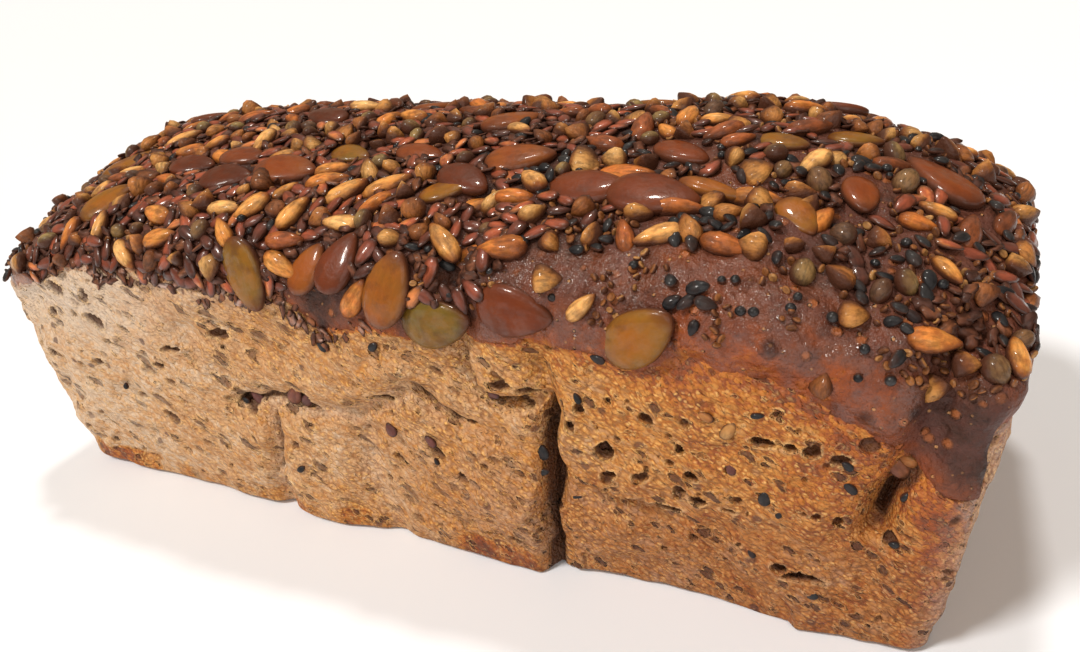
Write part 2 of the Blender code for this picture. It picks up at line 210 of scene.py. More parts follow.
def form_normals(points):
    """The form's outward normals, from four neighbours of each point."""
    step = 1.5
    line = points - np.array((0, 0, CORE_HEIGHT))
    line /= np.linalg.norm(line, axis=1)[:, None]
    side = np.cross(line, np.where(np.abs(line[:, 2:]) > 0.8, (1.0, 0, 0), (0, 0, 1.0)))
    side /= np.linalg.norm(side, axis=1)[:, None]
    up = np.cross(side, line)
    across = on_form(points + side * step) - on_form(points - side * step)
    along = on_form(points + up * step) - on_form(points - up * step)
    normal = np.cross(across, along)
    normal /= np.linalg.norm(normal, axis=1)[:, None]
    return normal * np.sign((normal * line).sum(axis=1))[:, None]


def route_distance(a, b, route):
    """The distance of each (a, b) from a route of straight runs."""
    best = np.full(len(a), 1e9)
    for (a0, b0), (a1, b1) in zip(route, route[1:]):
        run_a, run_b = a1 - a0, b1 - b0
        t = np.clip(((a - a0) * run_a + (b - b0) * run_b) / (run_a**2 + run_b**2), 0, 1)
        best = np.minimum(best, np.hypot(a - a0 - t * run_a, b - b0 - t * run_b))
    return best


def crease_depth(a, b, creases):
    """The deepest crease at each (a, b)."""
    depth = np.zeros(len(a))
    for route, width, deepest in creases:
        depth = np.maximum(depth, deepest * np.exp(-((route_distance(a, b, route) / width) ** 2)))
    return depth


def lobe_rise(a, b, lobes):
    rise = np.zeros(len(a))
    for centre_a, centre_b, radius_a, radius_b, height in lobes:
        far = ((a - centre_a) / radius_a) ** 2 + ((b - centre_b) / radius_b) ** 2
        rise = np.maximum(rise, height * np.clip(1 - far, 0, 1))
    return rise


def slab_step(x, z):
    """The right half of the front wall is a slab that overhangs the lobe under it."""
    edge_x, edge_z = zip(*SLAB_EDGE)
    height = z - np.interp(x, edge_x, edge_z)
    beside = smooth_step(*SLAB_STARTS, x) * (1 - smooth_step(*SLAB_FADES, x))
    return -SLAB_OVERHANG * beside * (1 - smooth_step(-SLAB_LIP, 0.5, height))


def lumps(points, size):
    return np.array([noise.noise(Vector(p) / size) for p in points])


SIDEWAYS = (0.3, 0.75)
UPWARDS = (0.15, 0.5)


def facing(normals):
    """How much each point faces front, back, an end and up, from 0 to 1."""
    front = smooth_step(*SIDEWAYS, -normals[:, 1])
    back = smooth_step(*SIDEWAYS, normals[:, 1])
    ends = smooth_step(*SIDEWAYS, np.abs(normals[:, 0]))
    return front, back, ends, smooth_step(*UPWARDS, normals[:, 2])


def relief(points, normals):
    """How far the skin stands out of the smooth form: lobes and lumps out, creases in."""
    x, y, z = points.T
    front, back, ends, top = facing(normals)
    out = LUMP_RISE * lumps(points, LUMP_SIZE) + SMALL_LUMP_RISE * lumps(points, SMALL_LUMP_SIZE)
    out *= 1 - END_FLATNESS * ends
    out += front * (lobe_rise(x, z, FRONT_LOBES) - crease_depth(x, z, FRONT_CREASES) + slab_step(x, z))
    out += back * (lobe_rise(x, z, BACK_LOBES) - crease_depth(x, z, BACK_CREASES))
    out -= ends * crease_depth(y * np.sign(x), z, END_CREASES)
    out -= top * crease_depth(x, y, TOP_CREASES)
    return out * smooth_step(-0.9, -0.4, normals[:, 2])


def skin(targets):
    """Points of the loaf's skin without its finest relief, and the form's normals there."""
    points = on_form(targets)
    normals = form_normals(points)
    points = points + normals * relief(points, normals)[:, None]
    points[:, 2] = np.where(points[:, 2] < FLAT_BASE_BELOW, 0, points[:, 2])
    return points, normals


def hashed(cells, salt):
    """A number from 0 to 1 for each whole-numbered cell, the same on each run."""
    i, j, k = cells.astype(np.int64).T
    h = (i * 374761393 + j * 668265263 + k * 1440662683 + salt * 974634777) & 0xFFFFFFFF
    h = ((h ^ (h >> 13)) * 1274126177) & 0xFFFFFFFF
    h = ((h ^ (h >> 16)) * 374761393) & 0xFFFFFFFF
    return (h ^ (h >> 15)) / 0xFFFFFFFF


def grain(points, size, salt):
    """Smooth noise from -1 to 1 with waves of the given size."""
    place = points / size
    cell = np.floor(place)
    part = place - cell
    part = part * part * (3 - 2 * part)
    total = np.zeros(len(points))
    for i in (0, 1):
        for j in (0, 1):
            for k in (0, 1):
                share = np.abs(1 - i - part[:, 0]) * np.abs(1 - j - part[:, 1]) * np.abs(1 - k - part[:, 2])
                total += share * hashed(cell + (i, j, k), salt)
    return total * 2 - 1


RIM_WIDTH = 0.20
FULL_RIM_RADIUS = 1.3
HOLE_RIM_WIDTH = 0.25


def bubbles(points, spacing, radii, share, salt):
    """Round bubbles cut open by the skin: how deep each point lies in one, and how near it is to a rim."""
    cell = np.floor(points / spacing)
    depth = np.zeros(len(points))
    rim = np.zeros(len(points))
    for i in (-1, 0, 1):
        for j in (-1, 0, 1):
            for k in (-1, 0, 1):
                near = cell + (i, j, k)
                centre = near + np.stack([hashed(near, salt + n) for n in range(3)], axis=1)
                radius = radii[0] + (radii[1] - radii[0]) * hashed(near, salt + 3) ** 2
                radius = np.where(hashed(near, salt + 4) < share, radius, 0)
                off = np.sqrt(((points - centre * spacing) ** 2).sum(axis=1))
                depth = np.maximum(depth, np.sqrt(np.clip(radius**2 - off**2, 0, None)))
                lip = np.exp(-(((off - radius) / RIM_WIDTH) ** 2))
                rim = np.maximum(rim, lip * np.clip(radius / FULL_RIM_RADIUS, 0, 1) ** 1.5)
    return depth, rim


def holes(x, z, listed):
    """The listed burst bubbles at each (x, z): the depth in one, and how near its rim is."""
    depth = np.zeros(len(x))
    rim = np.zeros(len(x))
    for at_x, at_z, half_x, half_z, deep in listed:
        off = np.hypot((x - at_x) / half_x, (z - at_z) / half_z)
        depth = np.maximum(depth, deep * np.sqrt(np.clip(1 - off**2, 0, 1)))
        rim = np.maximum(rim, np.exp(-(((off - 1) * min(half_x, half_z) / HOLE_RIM_WIDTH) ** 2)))
    return depth, rim


def crust_edge(points, normals):
    """The height where dark crust ends and pale wall begins, all round the loaf."""
    edge_x, edge_z = zip(*CRUST_EDGE)
    front, _, ends, _ = facing(normals)
    wander = 1.3 * grain(points, 9, 71) + 0.9 * grain(points, 3, 72) + 0.4 * grain(points, 1.2, 74)
    unseen = 47 + 2.5 * grain(points, 24, 73)
    end_height = np.where(points[:, 0] < 0, 46, 40 + 3 * smooth_step(-46, -20, points[:, 1]))
    height = np.where(front > ends, np.interp(points[:, 0], edge_x, edge_z), unseen)
    return np.where((ends >= front) & (ends > 0.2), end_height, height) + wander


STRETCH_SLOPE = 32
STRETCH = 2.4


def streaked(points):
    """The wall's own axes, drawn out along the slope in which its dough was stretched."""
    slope = math.radians(-STRETCH_SLOPE)
    along = points[:, 0] * math.cos(slope) + points[:, 2] * math.sin(slope)
    over = -points[:, 0] * math.sin(slope) + points[:, 2] * math.cos(slope)
    return np.stack([along / STRETCH, points[:, 1], over], axis=1)


def wall_relief(points, normals):
    """The walls' finest relief, how hollow each point is, and how near it is to a bubble's torn rim."""
    x, _, z = points.T
    front, back, ends, _ = facing(normals)
    right = np.maximum(smooth_step(31, 38, x) * (1 - smooth_step(84, 96, x)), 0.8 * back)
    slab = right * smooth_step(9, 24, z)
    patchy = smooth_step(-0.5, 0.5, grain(points, 12, 5))
    # where, spacing, radii, share of the places that have a bubble, salt, strength
    layers = (
        (points, 5.0, (0.7, 1.5), 0.06 + 0.20 * slab * patchy, 11, 1.0),
        (points, 2.8, (0.5, 1.0), 0.12 + 0.50 * slab * patchy, 21, 1.0),
        (streaked(points), 3.8, (0.5, 1.2), (0.22 + 0.40 * patchy) * (1 - right), 31, 1.0),
        (streaked(points), 2.2, (0.4, 0.7), 0.45 * (1 - right), 36, 0.9),
    )
    hollow = np.zeros(len(points))
    rim = np.zeros(len(points))
    for where, spacing, radii, share, salt, strength in layers:
        deep, edge = bubbles(where, spacing, radii, share * (1 - 0.35 * ends), salt)
        hollow = np.maximum(hollow, strength * deep)
        rim = np.maximum(rim, strength * edge)
    at_x = x + 0.4 * grain(points, 2.4, 41)
    at_z = z + 0.35 * grain(points, 2.4, 42)
    deep, edge = holes(at_x, at_z, FRONT_HOLES)
    hollow = np.maximum(hollow, front * deep)
    rim = np.maximum(rim, front * edge) * (hollow < 0.35)
    torn_x, torn_z = x + 0.9 * grain(points, 4, 43), z + 0.9 * grain(points, 4, 44)
    crack = front * crease_depth(torn_x, torn_z, FRONT_CRACKS)
    rough = 0.40 * grain(points, 4.2, 51) + 0.32 * grain(points, 1.9, 52) + 0.14 * grain(points, 0.9, 53)
    drawn = 0.55 * grain(streaked(points), 2.6, 54) + 0.80 * grain(streaked(points), 6.5, 55)
    rough += (1 - right) * front * drawn
    rough *= 1 - 0.4 * ends
    # the cracks count as hollow too, and the crumb material paints shade by how hollow a place is
    return rough + 0.18 * rim - 1.15 * hollow - crack, hollow + 0.6 * crack, rim


def cut_block(cuts, open_sides):
    """A cube without the faces named by their z, each other face cut into a grid."""
    bm = bmesh.new()
    bmesh.ops.create_cube(bm, size=2)
    gone = [face for face in bm.faces if round(face.normal.z) in open_sides]
    bmesh.ops.delete(bm, geom=gone, context="FACES_ONLY")
    for axis, count in enumerate(cuts):
        edges = [e for e in bm.edges if abs(e.verts[0].co[axis] - e.verts[1].co[axis]) > 1e-6]
        bmesh.ops.subdivide_edges(bm, edges=edges, cuts=count, use_grid_fill=True)
    return bm


def grid_places(bm):
    return np.array([vert.co for vert in bm.verts])


BOX_LOW = np.array(cad_low) / MM
BOX_HIGH = np.array(cad_high) / MM
BOX_CLEAR = 0.05


def kept_in_box(points):
    """The points, drawn back to just within the solid's box, and down to its base."""
    return np.clip(points, BOX_LOW + (BOX_CLEAR, BOX_CLEAR, 0), BOX_HIGH - BOX_CLEAR)


def lay(bm, points):
    """Puts the points into the piece, kept within the solid's box."""
    for vert, point in zip(bm.verts, kept_in_box(points)):
        vert.co = point * MM


def put(name, data):
    """A new object in the scene, at the origin."""
    made = bpy.data.objects.new(name, data)
    bpy.context.scene.collection.objects.link(made)
    return made


def bread_piece(name, mesh, material):
    """A piece of the loaf, which rides on the loaf's one body."""
    mesh.shade_smooth()
    mesh.materials.append(material)
    piece = put(name, mesh)
    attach(piece, "root")
    return piece


def finish_mesh(bm, name, values, material):
    """Shuts the grid's open ends and keeps the values for the material on its points."""
    rims = [edge for edge in bm.edges if edge.is_boundary]
    if rims:
        bmesh.ops.holes_fill(bm, edges=rims, sides=0)
    bmesh.ops.recalc_face_normals(bm, faces=bm.faces)
    mesh = bpy.data.meshes.new(name)
    bm.to_mesh(mesh)
    bm.free()
    for key, value in values.items():
        kept = np.zeros(len(mesh.vertices), np.float32)
        kept[: len(value)] = value
        mesh.attributes.new(key, "FLOAT", "POINT").data.foreach_set("value", kept)
    return bread_piece(name, mesh, material)


def node(tree, kind, **settings):
    made = tree.nodes.new(kind)
    for key, value in settings.items():
        setattr(made, key, value)
    return made


def feed(tree, value, socket):
    """A number or colour is set on the socket, and another node's output is linked to it."""
    if isinstance(value, bpy.types.NodeSocket):
        tree.links.new(value, socket)
    elif isinstance(value, (tuple, list)):
        socket.default_value = (*value, 1) if len(value) == 3 and len(socket.default_value) == 4 else value
    else:
        socket.default_value = value


def ramp(tree, value, stops):
    made = node(tree, "ShaderNodeValToRGB")
    elements = made.color_ramp.elements
    while len(elements) < len(stops):
        elements.new(0.5)
    for element, (place, colour) in zip(elements, stops):
        element.position = place
        element.color = (*colour, 1) if isinstance(colour, tuple) else (colour, colour, colour, 1)
    feed(tree, value, made.inputs["Fac"])
    return made.outputs["Color"]


def math_node(tree, operation, first, second=0.0, third=0.0):
    made = node(tree, "ShaderNodeMath", operation=operation)
    for value, socket in zip((first, second, third), made.inputs):
        feed(tree, value, socket)
    return made.outputs[0]


def times(tree, first, second):
    return math_node(tree, "MULTIPLY", first, second)


def plus(tree, first, second):
    return math_node(tree, "ADD", first, second)


def rest_of(tree, share):
    """What is left of 1 after the share."""
    return math_node(tree, "SUBTRACT", 1.0, share)


def mix(tree, share, first, second, blend="MIX"):
    made = node(tree, "ShaderNodeMix", data_type="RGBA", blend_type=blend)
    feed(tree, share, made.inputs["Factor"])
    feed(tree, first, made.inputs[6])
    feed(tree, second, made.inputs[7])
    return made.outputs[2]


def attribute(tree, name):
    return node(tree, "ShaderNodeAttribute", attribute_name=name).outputs["Fac"]


def noise_texture(tree, size, detail=3.0, roughness=0.55, where=None):
    """Noise with waves of the given size in millimetres, on the piece's own coordinates."""
    where = where or node(tree, "ShaderNodeTexCoord").outputs["Object"]
    made = node(tree, "ShaderNodeTexNoise")
    feed(tree, where, made.inputs["Vector"])
    made.inputs["Scale"].default_value = 1 / (size * MM)
    made.inputs["Detail"].default_value = detail
    made.inputs["Roughness"].default_value = roughness
    return made.outputs["Fac"]


def cells(tree, size, feature="F1", where=None):
    """Cells of the given size in millimetres: how far from the middle, and a random number for each."""
    where = where or node(tree, "ShaderNodeTexCoord").outputs["Object"]
    made = node(tree, "ShaderNodeTexVoronoi", feature=feature)
    feed(tree, where, made.inputs["Vector"])
    made.inputs["Scale"].default_value = 1 / (size * MM)
    pick = node(tree, "ShaderNodeSeparateColor")
    feed(tree, made.outputs["Color"], pick.inputs["Color"])
    return made.outputs["Distance"], pick.outputs["Red"]


def speckles(tree, size, fade, rare):
    """Round spots in some of the cells: each fades out over the distances, and few have one."""
    off, pick = cells(tree, size)
    inside = ramp(tree, off, ((fade[0], 1.0), (fade[1], 0.0)))
    return times(tree, inside, ramp(tree, pick, ((rare[0], 0.0), (rare[1], 1.0))))


def bump(tree, height, distance, strength=1.0, under=None):
    made = node(tree, "ShaderNodeBump")
    made.inputs["Distance"].default_value = distance * MM
    made.inputs["Strength"].default_value = strength
    feed(tree, height, made.inputs["Height"])
    if under is not None:
        feed(tree, under, made.inputs["Normal"])
    return made.outputs["Normal"]


def new_material(name):
    made = bpy.data.materials.new(name)
    made.use_nodes = True
    return made, made.node_tree, made.node_tree.nodes["Principled BSDF"]


# Bread colours from the palest wall to the darkest crust, by how hard each place was baked
BAKED = (
    (0.00, (0.640, 0.470, 0.320)),
    (0.14, (0.590, 0.345, 0.170)),
    (0.28, (0.510, 0.250, 0.098)),
    (0.42, (0.540, 0.225, 0.044)),
    (0.52, (0.470, 0.150, 0.018)),
    (0.62, (0.290, 0.064, 0.012)),
    (0.74, (0.165, 0.046, 0.018)),
    (0.88, (0.100, 0.033, 0.017)),
    (1.00, (0.040, 0.016, 0.010)),
)


def swayed(tree, value, pattern, amount):
    """The value pushed up and down by a pattern that runs from 0 to 1."""
    return math_node(tree, "MULTIPLY_ADD", math_node(tree, "SUBTRACT", pattern, 0.5), amount, value)


def sloped(tree, drawn_out):
    """The piece's coordinates along the slope in which the wall was stretched, drawn out along it."""
    turned = node(tree, "ShaderNodeMapping", vector_type="TEXTURE")
    feed(tree, node(tree, "ShaderNodeTexCoord").outputs["Object"], turned.inputs["Vector"])
    turned.inputs["Rotation"].default_value = (0, math.radians(STRETCH_SLOPE), 0)
    turned.inputs["Scale"].default_value = (drawn_out, 1, 1)
    return turned.outputs["Vector"]


def ragged(tree, where, size, amount):
    """Coordinates shaken by noise of the given size, so that what is drawn on them has torn edges."""
    shake = node(tree, "ShaderNodeTexNoise")
    feed(tree, where, shake.inputs["Vector"])
    shake.inputs["Scale"].default_value = 1 / (size * MM)
    shake.inputs["Detail"].default_value = 2
    moved = node(tree, "ShaderNodeVectorMath", operation="MULTIPLY_ADD")
    feed(tree, shake.outputs["Color"], moved.inputs[0])
    moved.inputs[1].default_value = (amount * MM, amount * MM, amount * MM)
    feed(tree, where, moved.inputs[2])
    return moved.outputs["Vector"]


def pits(tree, size, drawn_out, widest, share):
    """Small bubbles burst on the tin, drawn out along the slope: their insides and thin torn rims."""
    off, pick = cells(tree, size, where=ragged(tree, sloped(tree, drawn_out), size * 0.7, size * 0.9))
    chosen = ramp(tree, pick, ((1 - share, 0.0), (1.0, 1.0)))
    radius = times(tree, math_node(tree, "POWER", chosen, 1.5), widest)
    past = plus(tree, math_node(tree, "SUBTRACT", off, radius), 0.5)
    inside = ramp(tree, past, ((0.34, 1.0), (0.50, 0.0)))
    rim = ramp(tree, past, ((0.48, 0.0), (0.53, 1.0), (0.62, 0.0)))
    there = ramp(tree, chosen, ((0.12, 0.0), (0.30, 1.0)))
    return times(tree, inside, there), times(tree, rim, there)


def crumb_material(name):
    """Porous rye crumb: glassy amber granules with painted highlights on their tops and painted shade
    between them, burst bubbles with torn pale rims and painted shade inside, bran and seed chips.
    """
    made, tree, shader = new_material(name)
    baked = attribute(tree, "baked")
    hollow = attribute(tree, "hollow")
    slope = sloped(tree, 1.5)
    granule, granule_pick = cells(tree, 0.62, where=ragged(tree, slope, 0.9, 0.9))
    speck = noise_texture(tree, 1.6, 3, 0.65)
    fibre = noise_texture(tree, 1.5, 3, 0.68, sloped(tree, 3.4))
    tone = swayed(tree, baked, noise_texture(tree, 8, 3, 0.6), 0.42)
    tone = swayed(tree, tone, speck, 0.20)
    tone = swayed(tree, tone, fibre, 0.50)
    tone = swayed(tree, tone, granule_pick, 0.20)
    colour = ramp(tree, tone, BAKED)
    # a flour bloom where the dough stuck to the tin's dust
    powder = ramp(tree, noise_texture(tree, 4, 3), ((0.3, 0.3), (0.65, 1.0)))
    bloom = times(tree, attribute(tree, "dusty"), powder)
    colour = mix(tree, bloom, colour, (0.62, 0.51, 0.41))
    # brown bran and dark purple seed chips within the crumb
    chip, chip_pick = cells(tree, 4.6)
    chip = plus(tree, chip, times(tree, speck, 0.12))
    chip_there = ramp(tree, chip_pick, ((0.55, 0.0), (0.60, 0.75)))
    chip = times(tree, ramp(tree, chip, ((0.20, 1.0), (0.26, 0.0))), chip_there)
    colour = mix(tree, chip, colour, (0.095, 0.040, 0.030))
    # the granules' tops are toasted gold on the well baked parts, partly a painted highlight, and the gaps
    # between them are darkened with painted shade
    crumbly = ramp(tree, baked, ((0.08, 0.30), (0.34, 1.0), (0.52, 1.0), (0.62, 0.25)))
    patches = ramp(tree, noise_texture(tree, 5, 3), ((0.36, 0.45), (0.58, 1.0)))
    crumbly = times(tree, crumbly, patches)
    gold_pick = ramp(tree, granule_pick, ((0.25, 0.0), (0.85, 1.0)))
    top = times(tree, ramp(tree, granule, ((0.10, 1.0), (0.52, 0.0))), gold_pick)
    gold_top_and_highlight = times(tree, times(tree, top, crumbly), 0.85)
    colour = mix(tree, gold_top_and_highlight, colour, (0.94, 0.57, 0.17))
    gap_shade = times(tree, ramp(tree, granule, ((0.42, 0.0), (0.75, 1.0))), crumbly)
    colour = mix(tree, times(tree, gap_shade, 0.66), colour, (0.20, 0.066, 0.010))
    # bubbles too fine for the mesh: round on the slab, drawn out to slits on the left, with painted shade
    # inside
    slit_side = ramp(tree, baked, ((0.22, 1.0), (0.34, 0.0)))
    round_side = rest_of(tree, slit_side)
    not_crust = ramp(tree, baked, ((0.56, 1.0), (0.66, 0.3)))
    round_pit, round_rim = pits(tree, 1.6, 1.8, 0.52, 0.80)
    slit_pit, slit_rim = pits(tree, 2.1, 2.6, 0.50, 0.75)
    pit = plus(tree, times(tree, round_pit, round_side), times(tree, slit_pit, slit_side))
    pit = times(tree, pit, not_crust)
    lip = plus(tree, times(tree, round_rim, round_side), times(tree, slit_rim, slit_side))
    lip = times(tree, lip, not_crust)
    colour = mix(tree, times(tree, lip, 0.45), colour, (0.86, 0.54, 0.22))
    # painted shade inside the fine pits
    pit_shade = times(tree, pit, ramp(tree, baked, ((0.12, 0.60), (0.32, 0.85))))
    colour = mix(tree, pit_shade, colour, (0.085, 0.026, 0.008))
    ragged_rim = times(tree, attribute(tree, "torn"), ramp(tree, speck, ((0.42, 0.0), (0.60, 0.75))))
    colour = mix(tree, ragged_rim, colour, (0.84, 0.54, 0.24))
    # painted shade in burst bubbles, cracks and deep creases, by how hollow each place is
    colour = mix(tree, ramp(tree, hollow, ((0.10, 0.0), (0.80, 0.90))), colour, (0.075, 0.024, 0.008))
    # painted shade: darker on the lower front wall, more so towards the right
    colour = mix(tree, attribute(tree, "painted_shade"), colour, (0.74, 0.68, 0.78), "MULTIPLY")
    feed(tree, colour, shader.inputs["Base Color"])
    feed(tree, math_node(tree, "MULTIPLY_ADD", top, -0.36, 0.62), shader.inputs["Roughness"])
    shader.inputs["Specular IOR Level"].default_value = 0.40
    normal = bump(tree, rest_of(tree, granule), 0.40, 0.9)
    surface = math_node(tree, "MULTIPLY_ADD", lip, 0.25, rest_of(tree, pit))
    normal = bump(tree, surface, 0.60, 1.0, normal)
    normal = bump(tree, speck, 0.7, 0.7, normal)
    normal = bump(tree, fibre, 1.1, 0.8, normal)
    feed(tree, normal, shader.inputs["Normal"])
    return made


# How hard the front wall was baked from left to right
WALL_ALONG = (-103, -85, -60, -30, 0, 30, 36, 60, 85, 95)
WALL_BAKED = (0.05, 0.05, 0.11, 0.20, 0.26, 0.30, 0.38, 0.42, 0.48, 0.54)
UNSEEN_BAKED = 0.36
CRUST_BAKED = 0.62


def baked_value(points, normals, above_edge):
    """How hard each place was baked: pale on the walls, orange by the crust's edge, dark on top."""
    x, y, z = points.T
    front, back, ends, _ = facing(normals)
    floured = 0.06 * (1 - smooth_step(-70, -30, x)) * smooth_step(30, 45, z)
    wall = np.interp(x, WALL_ALONG, WALL_BAKED) - floured
    wall = wall + (UNSEEN_BAKED - wall) * np.maximum(0.7 * back, 0.8 * ends)
    corner = front * (1 - ends) * smooth_step(89, 93, x) * smooth_step(-20, -40, y)
    wall = wall + corner * 0.14 * smooth_step(9, 22, z)
    # the hard base strip, higher on the left
    strip = 3.9 + 1.4 * (1 - smooth_step(-85, -30, x))
    strip = strip + 1.5 * grain(points * (1, 1, 0), 9, 62) + 0.7 * grain(points, 2, 63)
    hard = 0.60 + 0.26 * (1 - smooth_step(-88, -60, x))
    wall = wall + (hard - wall) * (1 - smooth_step(strip - 1.4, strip + 1.0, z))
    wall = wall + 0.05 * grain(points, 16, 61)
    right = smooth_step(20, 60, x)
    glow = np.exp(-np.clip(-above_edge, 0, None) / (2.0 + 2.5 * right)) * (0.10 + 0.12 * right)
    crust = CRUST_BAKED + 0.12 * smooth_step(0, 7, above_edge) + 0.10 * smooth_step(6, 14, above_edge)
    crust = crust + 0.10 * (1 - right) * smooth_step(0, 3, above_edge)
    corner_lobe = smooth_step(86, 91, x) * smooth_step(48, 40, z)
    crust = crust + 0.42 * corner_lobe * smooth_step(2, 10, above_edge)
    crust = crust + 0.05 * smooth_step(20, -20, x) * smooth_step(1, 5, above_edge)
    return np.where(above_edge > 0, crust, np.maximum(wall, np.minimum(wall + glow, CRUST_BAKED)))


def flour(points, normals, seam):
    """Flour bloom: on the left of the front wall, along its folds and by the torn edge of the crust."""
    x, _, z = points.T
    front, _, ends, _ = facing(normals)
    bloom = 0.55 * (1 - smooth_step(-62, -30, x)) * smooth_step(26, 46, z)
    bloom += 0.5 * np.exp(-(((x + 72) / 20) ** 2 + ((z - 45) / 5) ** 2))
    torn_edge = 0.45 * np.exp(-(((x + 30) / 16) ** 2 + ((z - 50) / 3) ** 2))
    fold = 0.35 * smooth_step(0.6, 2.0, seam) * (1 - smooth_step(0, 30, x))
    return np.clip(front * (bloom + torn_edge + fold) * (1 - ends) + 0.5 * ends, 0, 1)


def painted_low_shade(points, normals):
    """Painted shade on the lower part of the front wall, more of it towards the right."""
    return facing(normals)[0] * smooth_step(-20, 60, points[:, 0]) * (1 - smooth_step(14, 34, points[:, 2]))


CRUMB_CUTS = (230, 110, 84)
FOOT_SHARE = 0.08
FOOT_INSET = 4.5
UNDER_FRONT = 4.6
UNDER_CRUST = 3.2
FRONT_WRAP = 9.0
SEAM_BLEND = 1.6


def behind_front_wall(points, normals):
    """1 where the front wall's own shell covers the body, on the front and a little round each corner."""
    end_shape = HALF_WIDTH - FRONT_WRAP + SEAM_BLEND
    return np.where(normals[:, 1] < -0.5, 1, smooth_step(-end_shape + 1.2, -end_shape - 0.4, points[:, 1]))


def wall_row(share):
    """The height of a wall's row, from its lowest foot row to under the crust."""
    return 0.8 + np.clip((share - FOOT_SHARE) / (1 - FOOT_SHARE), 0, 1) * (RIM_HEIGHT + 3)


def set_foot(points, normals, foot, curl):
    """Draws the lowest rows in under the loaf, so that its hard base curls up a little at the edge."""
    inward = normals * (1, 1, 0)
    inward /= np.maximum(np.linalg.norm(inward, axis=1), 0.2)[:, None]
    points = points - inward * (FOOT_INSET * foot**1.6)[:, None]
    lowest = curl * np.clip(1 - foot * 1.3, 0, 1) ** 1.5
    points[:, 2] = np.where(foot > 0, lowest, np.maximum(points[:, 2], lowest))
    return points


def base_curl(points):
    """How far the edge of the base curls up off the table."""
    left = 1 - smooth_step(-90, -40, points[:, 0])
    plan = points * (1, 1, 0)
    return np.clip(0.9 + 0.9 * left + 0.8 * grain(plan, 15, 91) + 0.5 * grain(plan, 4, 92), 0, 3)


bm = cut_block(CRUMB_CUTS, (-1, 1))
grid = grid_places(bm)
share = (grid[:, 2] + 1) / 2
foot = np.clip(1 - share / FOOT_SHARE, 0, 1)
targets = np.concatenate([grid[:, :2] * (HALF_LENGTH, HALF_WIDTH), wall_row(share)[:, None]], axis=1)
points, normals = skin(targets)
fine, hollow, torn = wall_relief(points, normals)
above_edge = points[:, 2] - crust_edge(points, normals)
front, back, ends, _ = facing(normals)
seam = back * crease_depth(points[:, 0], points[:, 2], BACK_CREASES)
seam += ends * crease_depth(points[:, 1] * np.sign(points[:, 0]), points[:, 2], END_CREASES)
values = {
    "baked": baked_value(points, normals, above_edge),
    # deep creases count as hollow, which the crumb material paints as shade
    "hollow": hollow + 0.2 * np.clip(seam - 1.2, 0, 3),
    "torn": torn,
    "dusty": flour(points, normals, seam),
    "painted_shade": painted_low_shade(points, normals),
}
covered = UNDER_CRUST * smooth_step(0.5, 3.5, above_edge) * (points[:, 2] > 30)
hidden = UNDER_FRONT * behind_front_wall(points, normals)
curl = base_curl(points)
points = points + normals * (fine * (foot == 0) - np.maximum(covered, hidden))[:, None]
lay(bm, set_foot(points, normals, foot, curl))
rye_crumb = crumb_material("rye_crumb")
loaf_crumb = finish_mesh(bm, "loaf_crumb", values, rye_crumb)
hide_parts("loaf")

# The front wall: the same crumb, where lobes of dough met in folds and bubbles burst on the tin.
# It is a fine shell of two halves, parted in the deep crack, that wraps a little round both corners.
# The lobe on the left is paler and drawn out, and the slab on the right darker, with more bubbles.
SHELL = 11.0
PARTED_AT = 34.0
OVERLAP = 1.2


def front_shell(name, low_x, high_x, cuts):
    """Half of the front wall, closed behind. Past either end of the loaf it turns round the corner."""
    bm = bmesh.new()
    bmesh.ops.create_grid(bm, x_segments=cuts[0], y_segments=cuts[1], size=1)
    grid = grid_places(bm)
    along = low_x + (grid[:, 0] + 1) / 2 * (high_x - low_x)
    past = np.clip(np.abs(along) - HALF_LENGTH, 0, None)
    share = (grid[:, 1] + 1) / 2
    foot = np.clip(1 - share / FOOT_SHARE, 0, 1)
    within = np.clip(along, -HALF_LENGTH, HALF_LENGTH)
    targets = np.stack([within, past - HALF_WIDTH, wall_row(share)], axis=1)
    points, normals = skin(targets)
    fine, hollow, torn = wall_relief(points, normals)
    above_edge = points[:, 2] - crust_edge(points, normals)
    x, z = points[:, 0], points[:, 2]
    seam = facing(normals)[0] * crease_depth(x, z, FRONT_CREASES)
    baked = baked_value(points, normals, above_edge)
    fine *= 1 - 0.5 * smooth_step(0.5, 0.62, baked)
    values = {
        "baked": baked,
        # deep creases count as hollow, which the crumb material paints as shade
        "hollow": hollow + 0.20 * np.clip(seam - 1.6, 0, 3),
        "torn": torn * (baked < 0.6),
        "dusty": flour(points, normals, seam),
        "painted_shade": painted_low_shade(points, normals),
    }
    covered = UNDER_CRUST * smooth_step(0.5, 3.5, above_edge) * (z > 30)
    corner_dive = 2.2 * smooth_step(FRONT_WRAP - SEAM_BLEND, FRONT_WRAP, past)
    curl = base_curl(points)
    points = points + normals * (fine * (foot == 0) - np.maximum(covered, corner_dive))[:, None]
    lay(bm, set_foot(points, normals, foot, curl))
    rims = [edge for edge in bm.edges if edge.is_boundary]
    for part in bmesh.ops.extrude_edge_only(bm, edges=rims)["geom"]:
        if isinstance(part, bmesh.types.BMVert):
            part.co.y += SHELL * MM
            part.co.z = max(part.co.z, 0.2 * MM)
            part.co.x -= math.copysign(min(abs(part.co.x), 1.5 * MM), part.co.x)
    return finish_mesh(bm, name, values, rye_crumb)


front_shell("front_wall_left", -HALF_LENGTH - FRONT_WRAP, PARTED_AT + OVERLAP, (440, 206))
front_shell("front_wall_slab", PARTED_AT, HALF_LENGTH + FRONT_WRAP, (330, 276))

